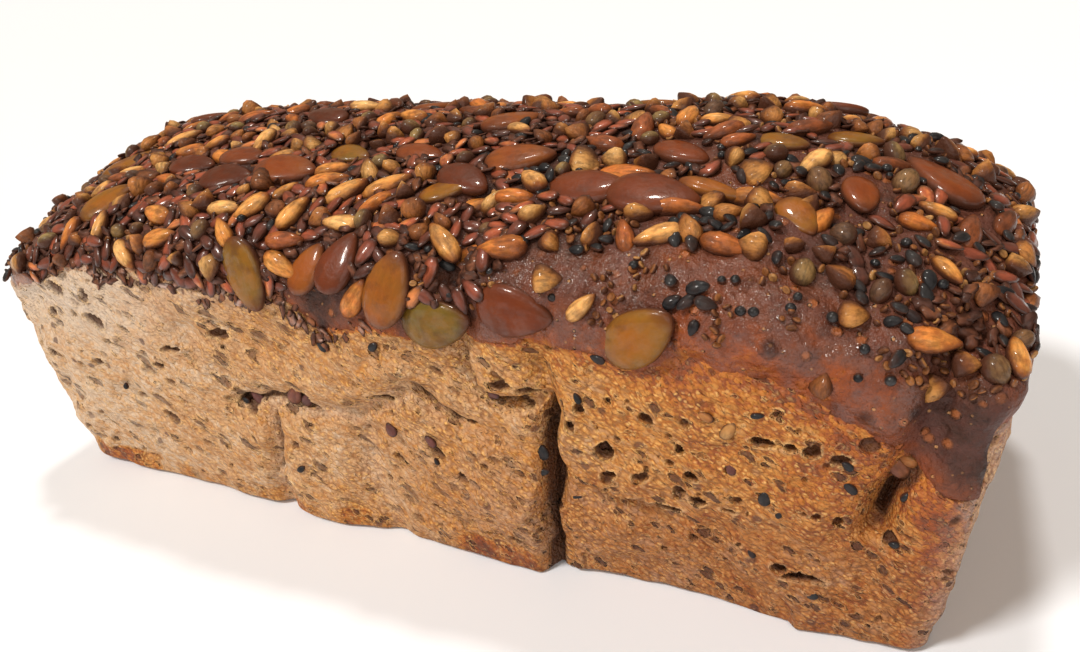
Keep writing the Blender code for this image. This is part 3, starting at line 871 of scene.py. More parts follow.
# The top crust: the skin of dough that rose over the tin's rim, brushed and baked dark.
# It wraps the shoulders and ends in an uneven edge that dives into the walls, so it is one shell with them.
CRUST_CUTS = (272, 122, 46)
CRUST_BOTTOM = 30.0
CRUST_LIFT = 0.35
EDGE_TUCK = 4.0
BARE_CRUST = ((20, -50), (28, -43), (37, -39.5), (52, -37), (70, -38), (84, -41), (97, -46))


def bareness(points):
    """1 on the smooth lobes of crust at the front right and middle right, where few seeds lie."""
    x, y, z = points.T
    edge_x, edge_y = zip(*BARE_CRUST)
    lobe = smooth_step(1.5, -1.5, y - np.interp(x, edge_x, edge_y))
    lobe = lobe * smooth_step(19, 23, x) * smooth_step(101, 96, x)
    patch = 1 - smooth_step(0.7, 1.1, np.hypot((x - 60) / 8, (y + 24) / 7))
    left_end = smooth_step(-74, -86, x) * smooth_step(-14, -30, y) * smooth_step(65, 60, z)
    return np.maximum(np.maximum(lobe, patch), left_end)


def crust_material(name):
    """Dark glazed crust: dull and grainy under the seeds, mottled and glossy where it is bare."""
    made, tree, shader = new_material(name)
    bare = attribute(tree, "bare")
    speck = noise_texture(tree, 1.8, 4, 0.65)
    tone = swayed(tree, attribute(tree, "baked"), noise_texture(tree, 7, 3, 0.6), 0.46)
    tone = swayed(tree, tone, speck, 0.34)
    colour = ramp(tree, tone, BAKED)
    powder = ramp(tree, noise_texture(tree, 4, 5), ((0.3, 0.3), (0.65, 1.0)))
    bloom = times(tree, attribute(tree, "dusty"), powder)
    colour = mix(tree, bloom, colour, (0.36, 0.24, 0.18))
    # purple brown blotches, and dark seeds that lie under the skin
    blotch = ramp(tree, noise_texture(tree, 6, 4, 0.7), ((0.36, 0.0), (0.62, 1.0)))
    colour = mix(tree, times(tree, blotch, 0.60), colour, (0.110, 0.036, 0.026))
    under = speckles(tree, 5.5, (0.12, 0.30), (0.60, 0.66))
    colour = mix(tree, times(tree, under, 0.80), colour, (0.030, 0.014, 0.012))
    # grains baked under the skin show through as orange and tan spots
    spot = speckles(tree, 3.0, (0.16, 0.30), (0.45, 0.70))
    colour = mix(tree, times(tree, spot, 0.50), colour, (0.44, 0.130, 0.030))
    dot = speckles(tree, 1.3, (0.14, 0.26), (0.70, 0.80))
    colour = mix(tree, times(tree, dot, 0.60), colour, (0.60, 0.300, 0.120))
    feed(tree, colour, shader.inputs["Base Color"])
    patches = noise_texture(tree, 3.5, 3, 0.6)
    rough = math_node(tree, "MULTIPLY_ADD", bare, -0.22, 0.60)
    feed(tree, swayed(tree, rough, patches, 0.45), shader.inputs["Roughness"])
    shader.inputs["Specular IOR Level"].default_value = 0.22
    wet = ramp(tree, patches, ((0.40, 0.05), (0.56, 0.75)))
    wet = times(tree, wet, math_node(tree, "MULTIPLY_ADD", bare, 0.65, 0.35))
    feed(tree, wet, shader.inputs["Coat Weight"])
    shader.inputs["Coat Roughness"].default_value = 0.09
    shader.inputs["Coat IOR"].default_value = 1.42
    pebbles, _ = cells(tree, 1.1, "SMOOTH_F1")
    normal = bump(tree, rest_of(tree, pebbles), 0.26, 0.9)
    normal = bump(tree, plus(tree, plus(tree, spot, dot), under), 0.50, 0.9, normal)
    normal = bump(tree, noise_texture(tree, 2.6, 4, 0.6), 1.5, 0.9, normal)
    normal = bump(tree, noise_texture(tree, 0.9, 2), 0.14, 1.0, normal)
    feed(tree, normal, shader.inputs["Normal"])
    # the glaze lies over the fine grain and follows only the lumps
    glazed = bump(tree, noise_texture(tree, 2.4, 3, 0.6), 1.7, 0.9)
    feed(tree, glazed, shader.inputs["Coat Normal"])
    return made


bm = cut_block(CRUST_CUTS, (-1,))
grid = grid_places(bm)
height = CRUST_BOTTOM + (grid[:, 2] + 1) / 2 * (2 * CORE_HEIGHT - CRUST_BOTTOM)
targets = np.concatenate([grid[:, :2] * (HALF_LENGTH, HALF_WIDTH), height[:, None]], axis=1)
points, normals = skin(targets)
above_edge = points[:, 2] - crust_edge(points, normals)
bare = bareness(points)
rough = 0.40 * grain(points, 5, 81) + 0.28 * grain(points, 2.2, 82) + 0.14 * grain(points, 1.0, 83)
rough += bare * (0.75 * grain(points, 9, 84) + 0.55 * grain(points, 4.2, 85))
blisters = bubbles(points, 4.2, (0.4, 1.1), 0.35, 86)[0]
tuck = 1 - smooth_step(-2.0, 0.6, above_edge)
lift = CRUST_LIFT * smooth_step(0, 4, above_edge)
lift = lift + (rough + 0.7 * blisters) * smooth_step(-1, 3, above_edge)
baked = baked_value(points, normals, above_edge)
values = {
    "baked": baked + (0.05 - 0.08 * bare) * smooth_step(1, 6, above_edge),
    "bare": bare,
    "dusty": smooth_step(-55, -85, points[:, 0]) * 0.55 * smooth_step(64, 52, points[:, 2]),
}
points = points + normals * (lift - EDGE_TUCK * tuck)[:, None]
lay(bm, points)
finish_mesh(bm, "loaf_crust", values, crust_material("rye_top_crust"))
crust_points, crust_normals, crust_above, crust_bare = points, normals, above_edge, bare

# Hulled pumpkin kernels: the largest seeds, plump flat drops pressed into the wet dough and roasted.
# Most turned brown or amber, and a few on the front shoulder stayed olive.
PUMPKIN = dict(size=(13.5, 8.4, 3.4), wide=0.95)
PUMPKIN_ON_EDGE = dict(size=(13.5, 8.4, 3.4), wide=0.48)
SUNFLOWER = dict(size=(9.0, 4.5, 3.4), wide=0.85)
SUNFLOWER_ON_EDGE = dict(size=(9.0, 4.5, 3.4), wide=0.62)
GROAT = dict(size=(4.7, 4.3, 4.0), wide=0.95)

# Seeds set one by one on the front shoulder, at (x, z) seen on the wall: kind, place, turn, length and tone
FRONT_SEEDS = (
    (PUMPKIN, (-21, 54), -72, 14.5, 0.12),
    (PUMPKIN, (-8, 56), 65, 10.5, 0.45),
    (PUMPKIN, (-1, 57.5), 70, 12.0, 0.80),
    (PUMPKIN, (9.5, 54), 68, 14.5, 0.35),
    (PUMPKIN, (17.5, 49), 14, 14.5, 0.05),
    (PUMPKIN, (32, 52.5), -3, 14.0, 0.78),
    (PUMPKIN, (52, 51), 38, 14.0, 0.22),
    (SUNFLOWER, (-52, 55), -35, 9.0, 0.10),
    (SUNFLOWER, (-13, 56), -25, 9.0, 0.35),
    (SUNFLOWER, (2.5, 52), 55, 9.0, 0.45),
    (SUNFLOWER, (43.5, 54.5), 45, 6.5, 0.15),
    (GROAT, (88, 57), 20, 4.5, 0.35),
    (GROAT, (95, 47), 60, 4.5, 0.30),
    (GROAT, (39, 58), 10, 4.8, 0.25),
    (GROAT, (78, 47), 80, 4.0, 0.80),
)

# Seeds set one by one on the top, at (x, y) seen from above: kind, place, turn, length and tone
TOP_SEEDS = (
    (PUMPKIN, (-28, -33.5), 0, 14.5, 0.58),
    (PUMPKIN, (-46, -37), 8, 12.5, 0.92),
    (PUMPKIN, (-44, -26.5), -9, 12.5, 0.66),
    (PUMPKIN, (-61, -29), 5, 11.5, 0.84),
    (PUMPKIN, (-15, -23), -8, 9.5, 0.15),
    (PUMPKIN, (1, -21), -4, 10.5, 0.60),
    (PUMPKIN, (17, -32), -24, 12.0, 0.85),
    (PUMPKIN, (24, -22), 20, 13.5, 0.52),
    (PUMPKIN, (15, -37.5), 25, 9.5, 0.20),
    (PUMPKIN, (44, -32.5), 8, 14.5, 0.74),
    (PUMPKIN, (58, -33.5), -4, 16.0, 0.76),
    (PUMPKIN, (52, -16), -20, 11.0, 0.66),
    (PUMPKIN, (68, -10), -12, 9.5, 0.15),
    (PUMPKIN_ON_EDGE, (67, -29.5), -10, 12.0, 0.30),
    (PUMPKIN, (78, 20), -12, 12.5, 0.70),
    (PUMPKIN, (81, -3), 4, 9.5, 0.18),
    (PUMPKIN, (92, -38), -50, 9.0, 0.30),
    (PUMPKIN, (97, -26), -75, 9.5, 0.60),
    (SUNFLOWER, (47, -25.5), 2, 11.5, 0.60),
    (SUNFLOWER, (45, -28.5), 14, 10.0, 0.50),
    (SUNFLOWER_ON_EDGE, (65.5, -37.5), 4, 9.5, 0.62),
    (SUNFLOWER, (77, -30.5), -8, 9.0, 0.40),
    (SUNFLOWER, (-51, -24), -14, 9.5, 0.45),
    (SUNFLOWER, (-16, -31.5), 14, 8.5, 0.35),
    (SUNFLOWER, (-15, -37), 20, 9.5, 0.45),
    (SUNFLOWER, (-9, -41), 38, 10.0, 0.25),
    (SUNFLOWER, (0, -36), 32, 10.5, 0.30),
    (SUNFLOWER, (22.5, -39), 22, 8.5, 0.45),
    (SUNFLOWER, (32.5, -38.5), 6, 8.0, 0.55),
    (SUNFLOWER, (96.5, -37), 70, 8.0, 0.50),
    (GROAT, (27.5, -38.5), 60, 6.0, 0.10),
    (GROAT, (38, -23), 15, 6.0, 0.10),
    (GROAT, (60.5, -41), 0, 4.8, 0.30),
    (GROAT, (70, -33.5), 10, 4.8, 0.35),
    (GROAT, (77, -38), 30, 5.4, 0.45),
    (GROAT, (80, -33), 0, 5.4, 0.30),
    (GROAT, (83.5, -27), 0, 5.0, 0.50),
    (GROAT, (71.5, -23), 40, 5.4, 0.30),
    (GROAT, (89.5, -33), 60, 5.4, 0.35),
    (GROAT, (97, 6), 15, 5.4, 0.10),
)
# Seeds that are drawn by chance: kind, how many, and how far each keeps clear of the others
DRAWN_SEEDS = ((PUMPKIN, 19, 8.2), (SUNFLOWER, 42, 5.2), (GROAT, 50, 3.4))
TRIES_PER_SEED = 60
AIM_X = 118
AIM_Y = 62
SHOULDER_X = (-95, -80, -60, -20, 10, 30, 60, 80, 90)
SHOULDER_Z = (50, 53, 54, 53, 52, 52, 50, 48, 46)
RANDOM_SEED = 11


def large_seeds():
    """The seeds that the solid carries too: those listed, then drawn ones that keep clear of them."""
    rng = random.Random(RANDOM_SEED)
    tones = random.Random(RANDOM_SEED + 1)
    by_hand = [(kind, (x, -HALF_WIDTH, z), *rest) for kind, (x, z), *rest in FRONT_SEEDS]
    by_hand += [(kind, (x, y, CROWN), *rest) for kind, (x, y), *rest in TOP_SEEDS]
    targets = np.array([target for _, target, *_ in by_hand], float)
    places, normals = skin(targets)
    laid = []
    for (kind, _, turn, length, tone), place, normal in zip(by_hand, places, normals):
        laid.append((kind, length, place, normal, turn, tone))
    taken = [(place, kind["size"][0] * 0.42) for kind, _, place, *_ in laid]
    for kind, wanted, clear in DRAWN_SEEDS:
        tries = wanted * TRIES_PER_SEED
        aims = []
        for _ in range(tries):
            aims.append((rng.uniform(-AIM_X, AIM_X), rng.uniform(-AIM_Y, AIM_Y), CROWN))
        turns = [rng.uniform(0, 180) for _ in range(tries)]
        growth = [rng.uniform(0.85, 1.12) for _ in range(tries)]
        places, normals = skin(np.array(aims))
        count = 0
        for place, normal, turn, grown in zip(places, normals, turns, growth):
            x, y, z = place
            if count == wanted:
                break
            on_bare = 22 < x < 99 and y < -33 and z > 40
            too_low = z < np.interp(x, SHOULDER_X, SHOULDER_Z) + kind["size"][1] / 2
            if too_low or on_bare or normal[2] < 0.25:
                continue
            if any(np.linalg.norm(place - other) < clear + radius for other, radius in taken):
                continue
            laid.append((kind, kind["size"][0] * grown, place, normal, turn, tones.uniform(0.1, 1.0)))
            taken.append((place, clear))
            count += 1
    return laid


def seed_axes(normal, turn, tip=0.0, roll=0.0):
    """Axes of a seed that lies on the skin, turned from the loaf's own length, then tipped and rolled."""
    up = Vector(normal)
    along = Vector((1, 0, 0)) - up * up.x
    if along.length < 0.3:
        along = Vector((0, -1, 0)) - up * -up.y
    along.normalize()
    axes = Matrix((along, up.cross(along), up)).transposed() @ Matrix.Rotation(math.radians(turn), 3, "Z")
    return axes @ Matrix.Rotation(math.radians(tip), 3, "Y") @ Matrix.Rotation(math.radians(roll), 3, "X")


def within_box(centre, axes, sizes):
    """The nearest centre at which the seed stays inside the solid's box."""
    half = np.sqrt(((np.array(axes) * np.array(sizes)) ** 2).sum(axis=1)) / 2 + 0.1
    return np.clip(centre, BOX_LOW + half, BOX_HIGH - half)


def seed_template(sides, rings, shape):
    """A ball of few sides, lying along X, with each point moved by the kind's shape."""
    bm = bmesh.new()
    bmesh.ops.create_uvsphere(bm, u_segments=sides, v_segments=rings, radius=1)
    bmesh.ops.transform(bm, matrix=Matrix.Rotation(math.pi / 2, 4, "Y"), verts=bm.verts)
    for vert in bm.verts:
        vert.co = shape(*vert.co)
    bmesh.ops.recalc_face_normals(bm, faces=bm.faces)
    mesh = bpy.data.meshes.new("template")
    bm.to_mesh(mesh)
    bm.free()
    return mesh


def sow(name, templates, seeds, material):
    """One mesh of many seeds. Each is (centre, axes, sizes, tone), in one of the kind's few shapes."""
    shapes = []
    for template in templates:
        verts = np.empty(len(template.vertices) * 3)
        template.vertices.foreach_get("co", verts)
        corners = np.empty(len(template.loops), np.int32)
        template.loops.foreach_get("vertex_index", corners)
        starts = np.array([face.loop_start for face in template.polygons])
        shapes.append((verts.reshape(-1, 3), corners, starts))
        bpy.data.meshes.remove(template)
    places, loops, starts, values, own = [], [], [], [], []
    vert_count = loop_count = 0
    for number, (centre, axes, sizes, tone) in enumerate(seeds):
        verts, corners, face_starts = shapes[number % len(shapes)]
        places.append((verts * (np.array(sizes) / 2)) @ np.array(axes).T + within_box(centre, axes, sizes))
        loops.append(corners + vert_count)
        starts.append(face_starts + loop_count)
        values.append(np.stack([np.full(len(verts), tone), verts[:, 0], verts[:, 2]]))
        own_corner = (number % 97 * 13.0, number % 89 * 17.0, number % 83 * 19.0)
        own.append(verts * (np.array(sizes) / 2) + own_corner)
        vert_count += len(verts)
        loop_count += len(corners)
    places = kept_in_box(np.concatenate(places))
    mesh = bpy.data.meshes.new(name)
    mesh.vertices.add(vert_count)
    mesh.vertices.foreach_set("co", (places * MM).ravel())
    mesh.loops.add(loop_count)
    mesh.loops.foreach_set("vertex_index", np.concatenate(loops))
    starts = np.concatenate(starts)
    mesh.polygons.add(len(starts))
    mesh.polygons.foreach_set("loop_start", starts)
    mesh.update(calc_edges=True)
    for key, value in zip(("tone", "along", "up"), np.concatenate(values, axis=1)):
        mesh.attributes.new(key, "FLOAT", "POINT").data.foreach_set("value", value.astype(np.float32))
    own_places = np.concatenate(own).ravel().astype(np.float32)
    mesh.attributes.new("own", "FLOAT_VECTOR", "POINT").data.foreach_set("vector", own_places)
    return bread_piece(name, mesh, material)


def seed_pattern(tree, size, drawn_out=1.0, detail=4.0):
    """Noise that follows each seed's own length, with waves of the given size in millimetres."""
    spread = node(tree, "ShaderNodeVectorMath", operation="MULTIPLY")
    feed(tree, node(tree, "ShaderNodeAttribute", attribute_name="own").outputs["Vector"], spread.inputs[0])
    spread.inputs[1].default_value = (1 / (size * drawn_out), 1 / size, 1 / size)
    made = node(tree, "ShaderNodeTexNoise")
    feed(tree, spread.outputs["Vector"], made.inputs["Vector"])
    made.inputs["Scale"].default_value = 1.0
    made.inputs["Detail"].default_value = detail
    made.inputs["Roughness"].default_value = 0.6
    return made.outputs["Fac"]


def seed_material(name, tones, lit, edge, gloss, wrinkle, depth, coated=0.5, crease_shade=0.75, mottle=0.7):
    """A roasted seed: toasted edges and tips, painted light on its cheek, painted shade in creases and low
    sides, part glazed.
    """
    made, tree, shader = new_material(name)
    wrinkles = seed_pattern(tree, wrinkle, 3.0)
    blotch = seed_pattern(tree, wrinkle * 2.6)
    tone = swayed(tree, attribute(tree, "tone"), blotch, mottle)
    colour = ramp(tree, tone, tones)
    up = attribute(tree, "up")
    # painted light: the seed's upper cheek multiplied by the lit colour
    painted_top_light = ramp(tree, swayed(tree, up, blotch, 0.8), ((0.45, 0.0), (1.0, 1.0)))
    colour = mix(tree, painted_top_light, colour, lit, "MULTIPLY")
    # painted shade along the wrinkles' creases
    colour = mix(tree, crease_shade, colour, ramp(tree, wrinkles, ((0.36, 0.35), (0.56, 1.0))), "MULTIPLY")
    tips = math_node(tree, "ABSOLUTE", attribute(tree, "along"))
    tips = ramp(tree, swayed(tree, tips, blotch, 0.5), ((0.62, 0.0), (1.0, 0.85)))
    colour = mix(tree, tips, colour, edge)
    rim = ramp(tree, swayed(tree, up, blotch, 0.4), ((0.15, 0.60), (0.60, 0.0)))
    colour = mix(tree, rim, colour, edge)
    # darker on the seed's low sides: partly the glaze it sits in, partly painted shade where it meets the
    # crust
    glaze_and_shade_below = ramp(tree, swayed(tree, up, wrinkles, 0.5), ((-0.10, 0.95), (0.40, 0.0)))
    colour = mix(tree, glaze_and_shade_below, colour, (0.070, 0.025, 0.014))
    glaze = ramp(tree, noise_texture(tree, 4.5, 4, 0.6), ((0.50, 0.0), (0.62, coated)))
    colour = mix(tree, glaze, colour, (0.065, 0.020, 0.010))
    feed(tree, colour, shader.inputs["Base Color"])
    feed(tree, swayed(tree, 0.66 - 0.30 * gloss, blotch, 0.35), shader.inputs["Roughness"])
    shader.inputs["Specular IOR Level"].default_value = 0.16
    shader.inputs["Coat IOR"].default_value = 1.38
    wet = ramp(tree, noise_texture(tree, 1.6, 4, 0.6), ((0.42, 0.15 * gloss), (0.58, 0.9 * gloss)))
    feed(tree, wet, shader.inputs["Coat Weight"])
    shader.inputs["Coat Roughness"].default_value = 0.08
    normal = bump(tree, wrinkles, depth, 1.0)
    normal = bump(tree, noise_texture(tree, 1.1, 3), depth * 1.2, 0.9, normal)
    feed(tree, normal, shader.inputs["Normal"])
    return made


def drop(tip, flat=1.0, dent=0.0):
    """A drop-shaped seed: narrowed by tip towards its point, with a flatter or dented top."""
    def shape(x, y, z):
        narrow = 1 - tip * x - 0.10 * x * x
        high = math.copysign(abs(z) ** flat, z) * (1 - dent * math.exp(-(x * x + y * y) / 0.3))
        return Vector((x, y * narrow, high * narrow**0.5))
    return shape


laid_seeds = large_seeds()
rng = random.Random(23)
LAID_LENGTH = 0.95


def laid(kinds, sunk, wander=0.0):
    """The seeds that the solid carries too, as this scene draws them."""
    found = []
    for kind, length, place, normal, turn, tone in laid_seeds:
        if not any(kind is wanted for wanted in kinds):
            continue
        scale = length / kind["size"][0]
        width = kind["size"][1] * scale * kind["wide"]
        sizes = (length * LAID_LENGTH, width, kind["size"][2] * min(scale, 1.0))
        axes = seed_axes(normal, turn, rng.uniform(-wander, wander), rng.uniform(-wander, wander))
        found.append((place + normal * sizes[2] * (0.5 - sunk), axes, sizes, tone))
    return found


PUMPKIN_TONES = (
    (0.00, (0.130, 0.088, 0.014)),
    (0.20, (0.220, 0.096, 0.012)),
    (0.42, (0.230, 0.072, 0.014)),
    (0.62, (0.165, 0.042, 0.013)),
    (0.80, (0.110, 0.025, 0.010)),
    (1.00, (0.055, 0.016, 0.009)),
)
pumpkin_finish = seed_material(
    "roasted_pumpkin_kernel", PUMPKIN_TONES, lit=(1.25, 0.98, 0.45), edge=(0.110, 0.024, 0.006),
    gloss=0.75, wrinkle=1.8, depth=0.10, coated=0.40, crease_shade=0.24, mottle=0.30)
pumpkin_shapes = [seed_template(20, 14, drop(tip, 0.72, 0.10)) for tip in (0.16, 0.24, 0.32)]
sow("pumpkin_kernels", pumpkin_shapes, laid((PUMPKIN, PUMPKIN_ON_EDGE), 0.32, 7), pumpkin_finish)

# Sunflower kernels: slimmer, pointed and toasted orange to tan, among the larger seeds.
# They lie where the glaze held them, each clear of the others.
crust_order = [index for index in range(len(crust_points)) if crust_above[index] > 1.0]
rng.shuffle(crust_order)
CELL = 6.0
crowd = {}


def cell_of(place):
    return tuple(int(math.floor(value / CELL)) for value in place)


def settle(place, reach):
    crowd.setdefault(cell_of(place), []).append((place, reach))


def is_clear(place, reach):
    i, j, k = cell_of(place)
    for a in (i - 1, i, i + 1):
        for b in (j - 1, j, j + 1):
            for c in (k - 1, k, k + 1):
                for other, other_reach in crowd.get((a, b, c), ()):
                    if math.dist(place, other) < reach + other_reach:
                        return False
    return True


for kind, length, place, normal, turn, tone in laid_seeds:
    spread = 0 if kind is GROAT else length * 0.24
    own_length = np.array(seed_axes(normal, turn))[:, 0]
    for share in (-1, 0, 1):
        settle(tuple(place + own_length * spread * share), kind["size"][1] * 0.36)

# How much of the crust seeds cover: linseed paves the left and thins out to the right
right = smooth_step(12, 42, crust_points[:, 0])
front_half = smooth_step(8, -25, crust_points[:, 1])
bare_share = np.clip(crust_bare, 0, 1)
paved = (0.95 - right * (0.45 + 0.40 * front_half)) * (1 - bare_share)
strewn = (0.85 - 0.20 * right * front_half) * (1 - bare_share) + 0.05 * bare_share
sprinkled = (0.55 + 0.15 * right) * (1 - bare_share) + 0.16 * bare_share


def strew(size, wanted, reach, sunk, wander, lowest, cover, salt, stack=0.0):
    """More seeds of one kind at random turns, clear of what lies there, in patches over the given share."""
    pattern = grain(crust_points, 7, salt) + 0.8 * grain(crust_points, 2.5, salt + 1)
    rank = np.empty(len(pattern))
    rank[np.argsort(pattern, kind="stable")] = np.linspace(0, 1, len(pattern))
    found = []
    for index in crust_order:
        if len(found) == wanted:
            break
        place, normal = crust_points[index], crust_normals[index]
        upright = normal[2] < (0.35 if abs(normal[0]) > 0.5 or normal[1] > 0.5 else 0.05)
        if upright or crust_above[index] < lowest or rank[index] > cover[index]:
            continue
        if not is_clear(tuple(place), reach):
            continue
        grown = rng.uniform(0.78, 1.14)
        sizes = tuple(side * grown * rng.uniform(0.92, 1.08) for side in size)
        turn, tip, roll = rng.uniform(0, 360), rng.uniform(-wander, wander), rng.uniform(-wander, wander)
        axes = seed_axes(normal, turn, tip, roll)
        centre = place + normal * (sizes[2] * (0.5 - sunk) + rng.uniform(0, stack))
        if np.abs(within_box(centre, axes, sizes) - centre).max() > 0.8:
            continue
        settle(tuple(place), reach)
        found.append((centre, axes, sizes, rng.random()))
    rng.shuffle(crust_order)
    return found


SUNFLOWER_TONES = (
    (0.00, (0.560, 0.300, 0.095)),
    (0.30, (0.460, 0.180, 0.035)),
    (0.55, (0.360, 0.100, 0.016)),
    (0.80, (0.200, 0.050, 0.013)),
    (1.00, (0.100, 0.028, 0.010)),
)
sunflower_finish = seed_material(
    "toasted_sunflower_kernel", SUNFLOWER_TONES, lit=(1.80, 1.95, 2.3), edge=(0.200, 0.048, 0.009),
    gloss=0.55, wrinkle=0.8, depth=0.18)
sunflower_shapes = [seed_template(10, 8, drop(tip, 0.85)) for tip in (0.36, 0.46, 0.28)]
sunflowers = laid((SUNFLOWER, SUNFLOWER_ON_EDGE), 0.35, 10)
sunflowers += strew(
    (7.6, 3.5, 2.7), 120, reach=1.9, sunk=0.3, wander=14, lowest=3.0, cover=strewn, salt=201)
sow("sunflower_kernels", sunflower_shapes, sunflowers, sunflower_finish)

# Buckwheat groats: three-sided grains with blunt ridges and a pointed tip, tan to brown.
# They lie over the whole crust, and stand out most at the right, where little else does.


def groat_shape(ridge):
    def shape(x, y, z):
        turn = math.atan2(z, y)
        corner = max(math.cos(3 * turn), 0) ** 2
        out = (0.80 + ridge * corner) * (1 - 0.34 * x - 0.24 * max(x, 0))
        return Vector((x * 1.05, y * out, z * out))
    return shape


GROAT_TONES = (
    (0.00, (0.450, 0.235, 0.072)),
    (0.30, (0.370, 0.155, 0.036)),
    (0.60, (0.280, 0.095, 0.022)),
    (0.85, (0.180, 0.058, 0.018)),
    (1.00, (0.110, 0.040, 0.016)),
)
groat_finish = seed_material(
    "buckwheat_groat", GROAT_TONES, lit=(1.65, 1.80, 2.1), edge=(0.170, 0.052, 0.014),
    gloss=0.40, wrinkle=0.7, depth=0.22, coated=0.4)
groat_shapes = [seed_template(9, 7, groat_shape(ridge)) for ridge in (0.26, 0.34, 0.42)]
groats = laid((GROAT,), 0.34, 50)
groats += strew(
    (4.3, 3.9, 3.7), 240, reach=1.7, sunk=0.34, wander=60, lowest=2.5, cover=strewn, salt=211)
sow("buckwheat_groats", groat_shapes, groats, groat_finish)

# Hemp seeds: round, with a grey to olive mottled shell that the oven browned.
# There are under a hundred, all whole, among the larger seeds.
HEMP_TONES = (
    (0.00, (0.230, 0.150, 0.055)),
    (0.40, (0.180, 0.100, 0.036)),
    (0.75, (0.130, 0.062, 0.026)),
    (1.00, (0.070, 0.034, 0.020)),
)
hemp_finish = seed_material(
    "hemp_shell", HEMP_TONES, lit=(1.6, 1.7, 1.7), edge=(0.06, 0.03, 0.015),
    gloss=0.50, wrinkle=0.45, depth=0.10)
hemp = strew((4.4, 3.7, 3.3), 85, reach=1.7, sunk=0.34, wander=50, lowest=2.5, cover=strewn, salt=221)
sow("hemp_seeds", [seed_template(10, 7, drop(0.08))], hemp, hemp_finish)

# Linseed: small flat glossy drops, dark red-brown, that pave the left of the crust between larger seeds.
# They lie flat, some over others, stuck to the dough with the glaze.
FLAX_TONES = (
    (0.00, (0.300, 0.110, 0.034)),
    (0.12, (0.160, 0.042, 0.018)),
    (0.50, (0.105, 0.028, 0.015)),
    (1.00, (0.034, 0.014, 0.010)),
)
flax_finish = seed_material(
    "linseed_shell", FLAX_TONES, lit=(2.7, 2.4, 2.4), edge=(0.030, 0.010, 0.007),
    gloss=1.00, wrinkle=0.9, depth=0.10, coated=0.4, crease_shade=0.5)
flax = strew(
    (4.8, 2.5, 1.0), 900, reach=1.05, sunk=0.20, wander=12, lowest=1.0,
    cover=paved, salt=231, stack=0.6)
sow("linseeds", [seed_template(8, 6, drop(0.32))], flax, flax_finish)

# Black sesame: small black drops, with a few round glossy poppy seeds among them.
# Both lie singly and in little groups, also on the bare crust at the front.
BLACK_TONES = ((0.00, (0.026, 0.024, 0.024)), (1.00, (0.010, 0.010, 0.012)))
sesame_finish = seed_material(
    "black_sesame_shell", BLACK_TONES, lit=(1.1, 1.1, 1.1), edge=(0.008, 0.008, 0.009),
    gloss=0.50, wrinkle=0.5, depth=0.06, coated=0.3)
sesame = strew(
    (3.0, 1.9, 1.2), 250, reach=0.85, sunk=0.25, wander=30, lowest=0.8,
    cover=sprinkled, salt=241, stack=0.5)
sow("black_sesame", [seed_template(8, 6, drop(0.28))], sesame, sesame_finish)
POPPY_SIZE = (1.6, 1.5, 1.5)
POPPY_PLACES = ((68.5, 56), (70.5, 56), (77, 57), (39, 55.5), (55.5, 62), (20.5, 54))
places, normals = skin(np.array([(x, -HALF_WIDTH, z) for x, z in POPPY_PLACES], float))
poppy = []
for place, normal in zip(places, normals):
    poppy.append((place + normal * 0.35, seed_axes(normal, 0), POPPY_SIZE, 0.5))
poppy += strew(POPPY_SIZE, 70, reach=0.8, sunk=0.25, wander=20, lowest=1.5, cover=sprinkled, salt=251)
poppy_finish = seed_material(
    "poppy_shell", BLACK_TONES, lit=(1.1, 1.1, 1.1), edge=(0.01, 0.01, 0.012),
    gloss=1.0, wrinkle=0.6, depth=0.01, coated=0.1)
sow("poppy_seeds", [seed_template(10, 8, drop(0.0))], poppy, poppy_finish)

# Amaranth and other fine grains: pale rings and dots that stick to the crust between the seeds.
# They gather in clusters where the glaze pooled, most of them on the right.


def ring_shape(x, y, z):
    """A grain whose upper side is dented, so that it reads as a ring."""
    dent = 0.8 * math.exp(-(x * x + y * y) / 0.20)
    return Vector((x, y, z - dent if z > 0 else z))


AMARANTH_TONES = (
    (0.00, (0.480, 0.250, 0.085)),
    (0.40, (0.270, 0.095, 0.026)),
    (1.00, (0.095, 0.032, 0.014)),
)
amaranth_finish = seed_material(
    "amaranth_grain", AMARANTH_TONES, lit=(1.2, 1.3, 1.3), edge=(0.26, 0.10, 0.030),
    gloss=0.40, wrinkle=0.4, depth=0.05, coated=0.3)
clustered = (0.26 + 0.20 * right) * (1 - bare_share) + 0.20 * bare_share
amaranth = strew(
    (1.5, 1.15, 1.0), 800, reach=0.55, sunk=0.30, wander=75, lowest=0.8,
    cover=clustered, salt=261, stack=0.2)
sow("amaranth_grains", [seed_template(8, 7, ring_shape)], amaranth, amaranth_finish)

# Bran and seed chips: thin dark brown flakes between everything else.
# A torn fringe of them, grey with flour, follows the edge of the crust on the left of the front wall.


def chip_shape(x, y, z):
    return Vector((x + 0.25 * math.sin(5 * y), y + 0.3 * math.sin(4 * x), z + 0.5 * x * y))


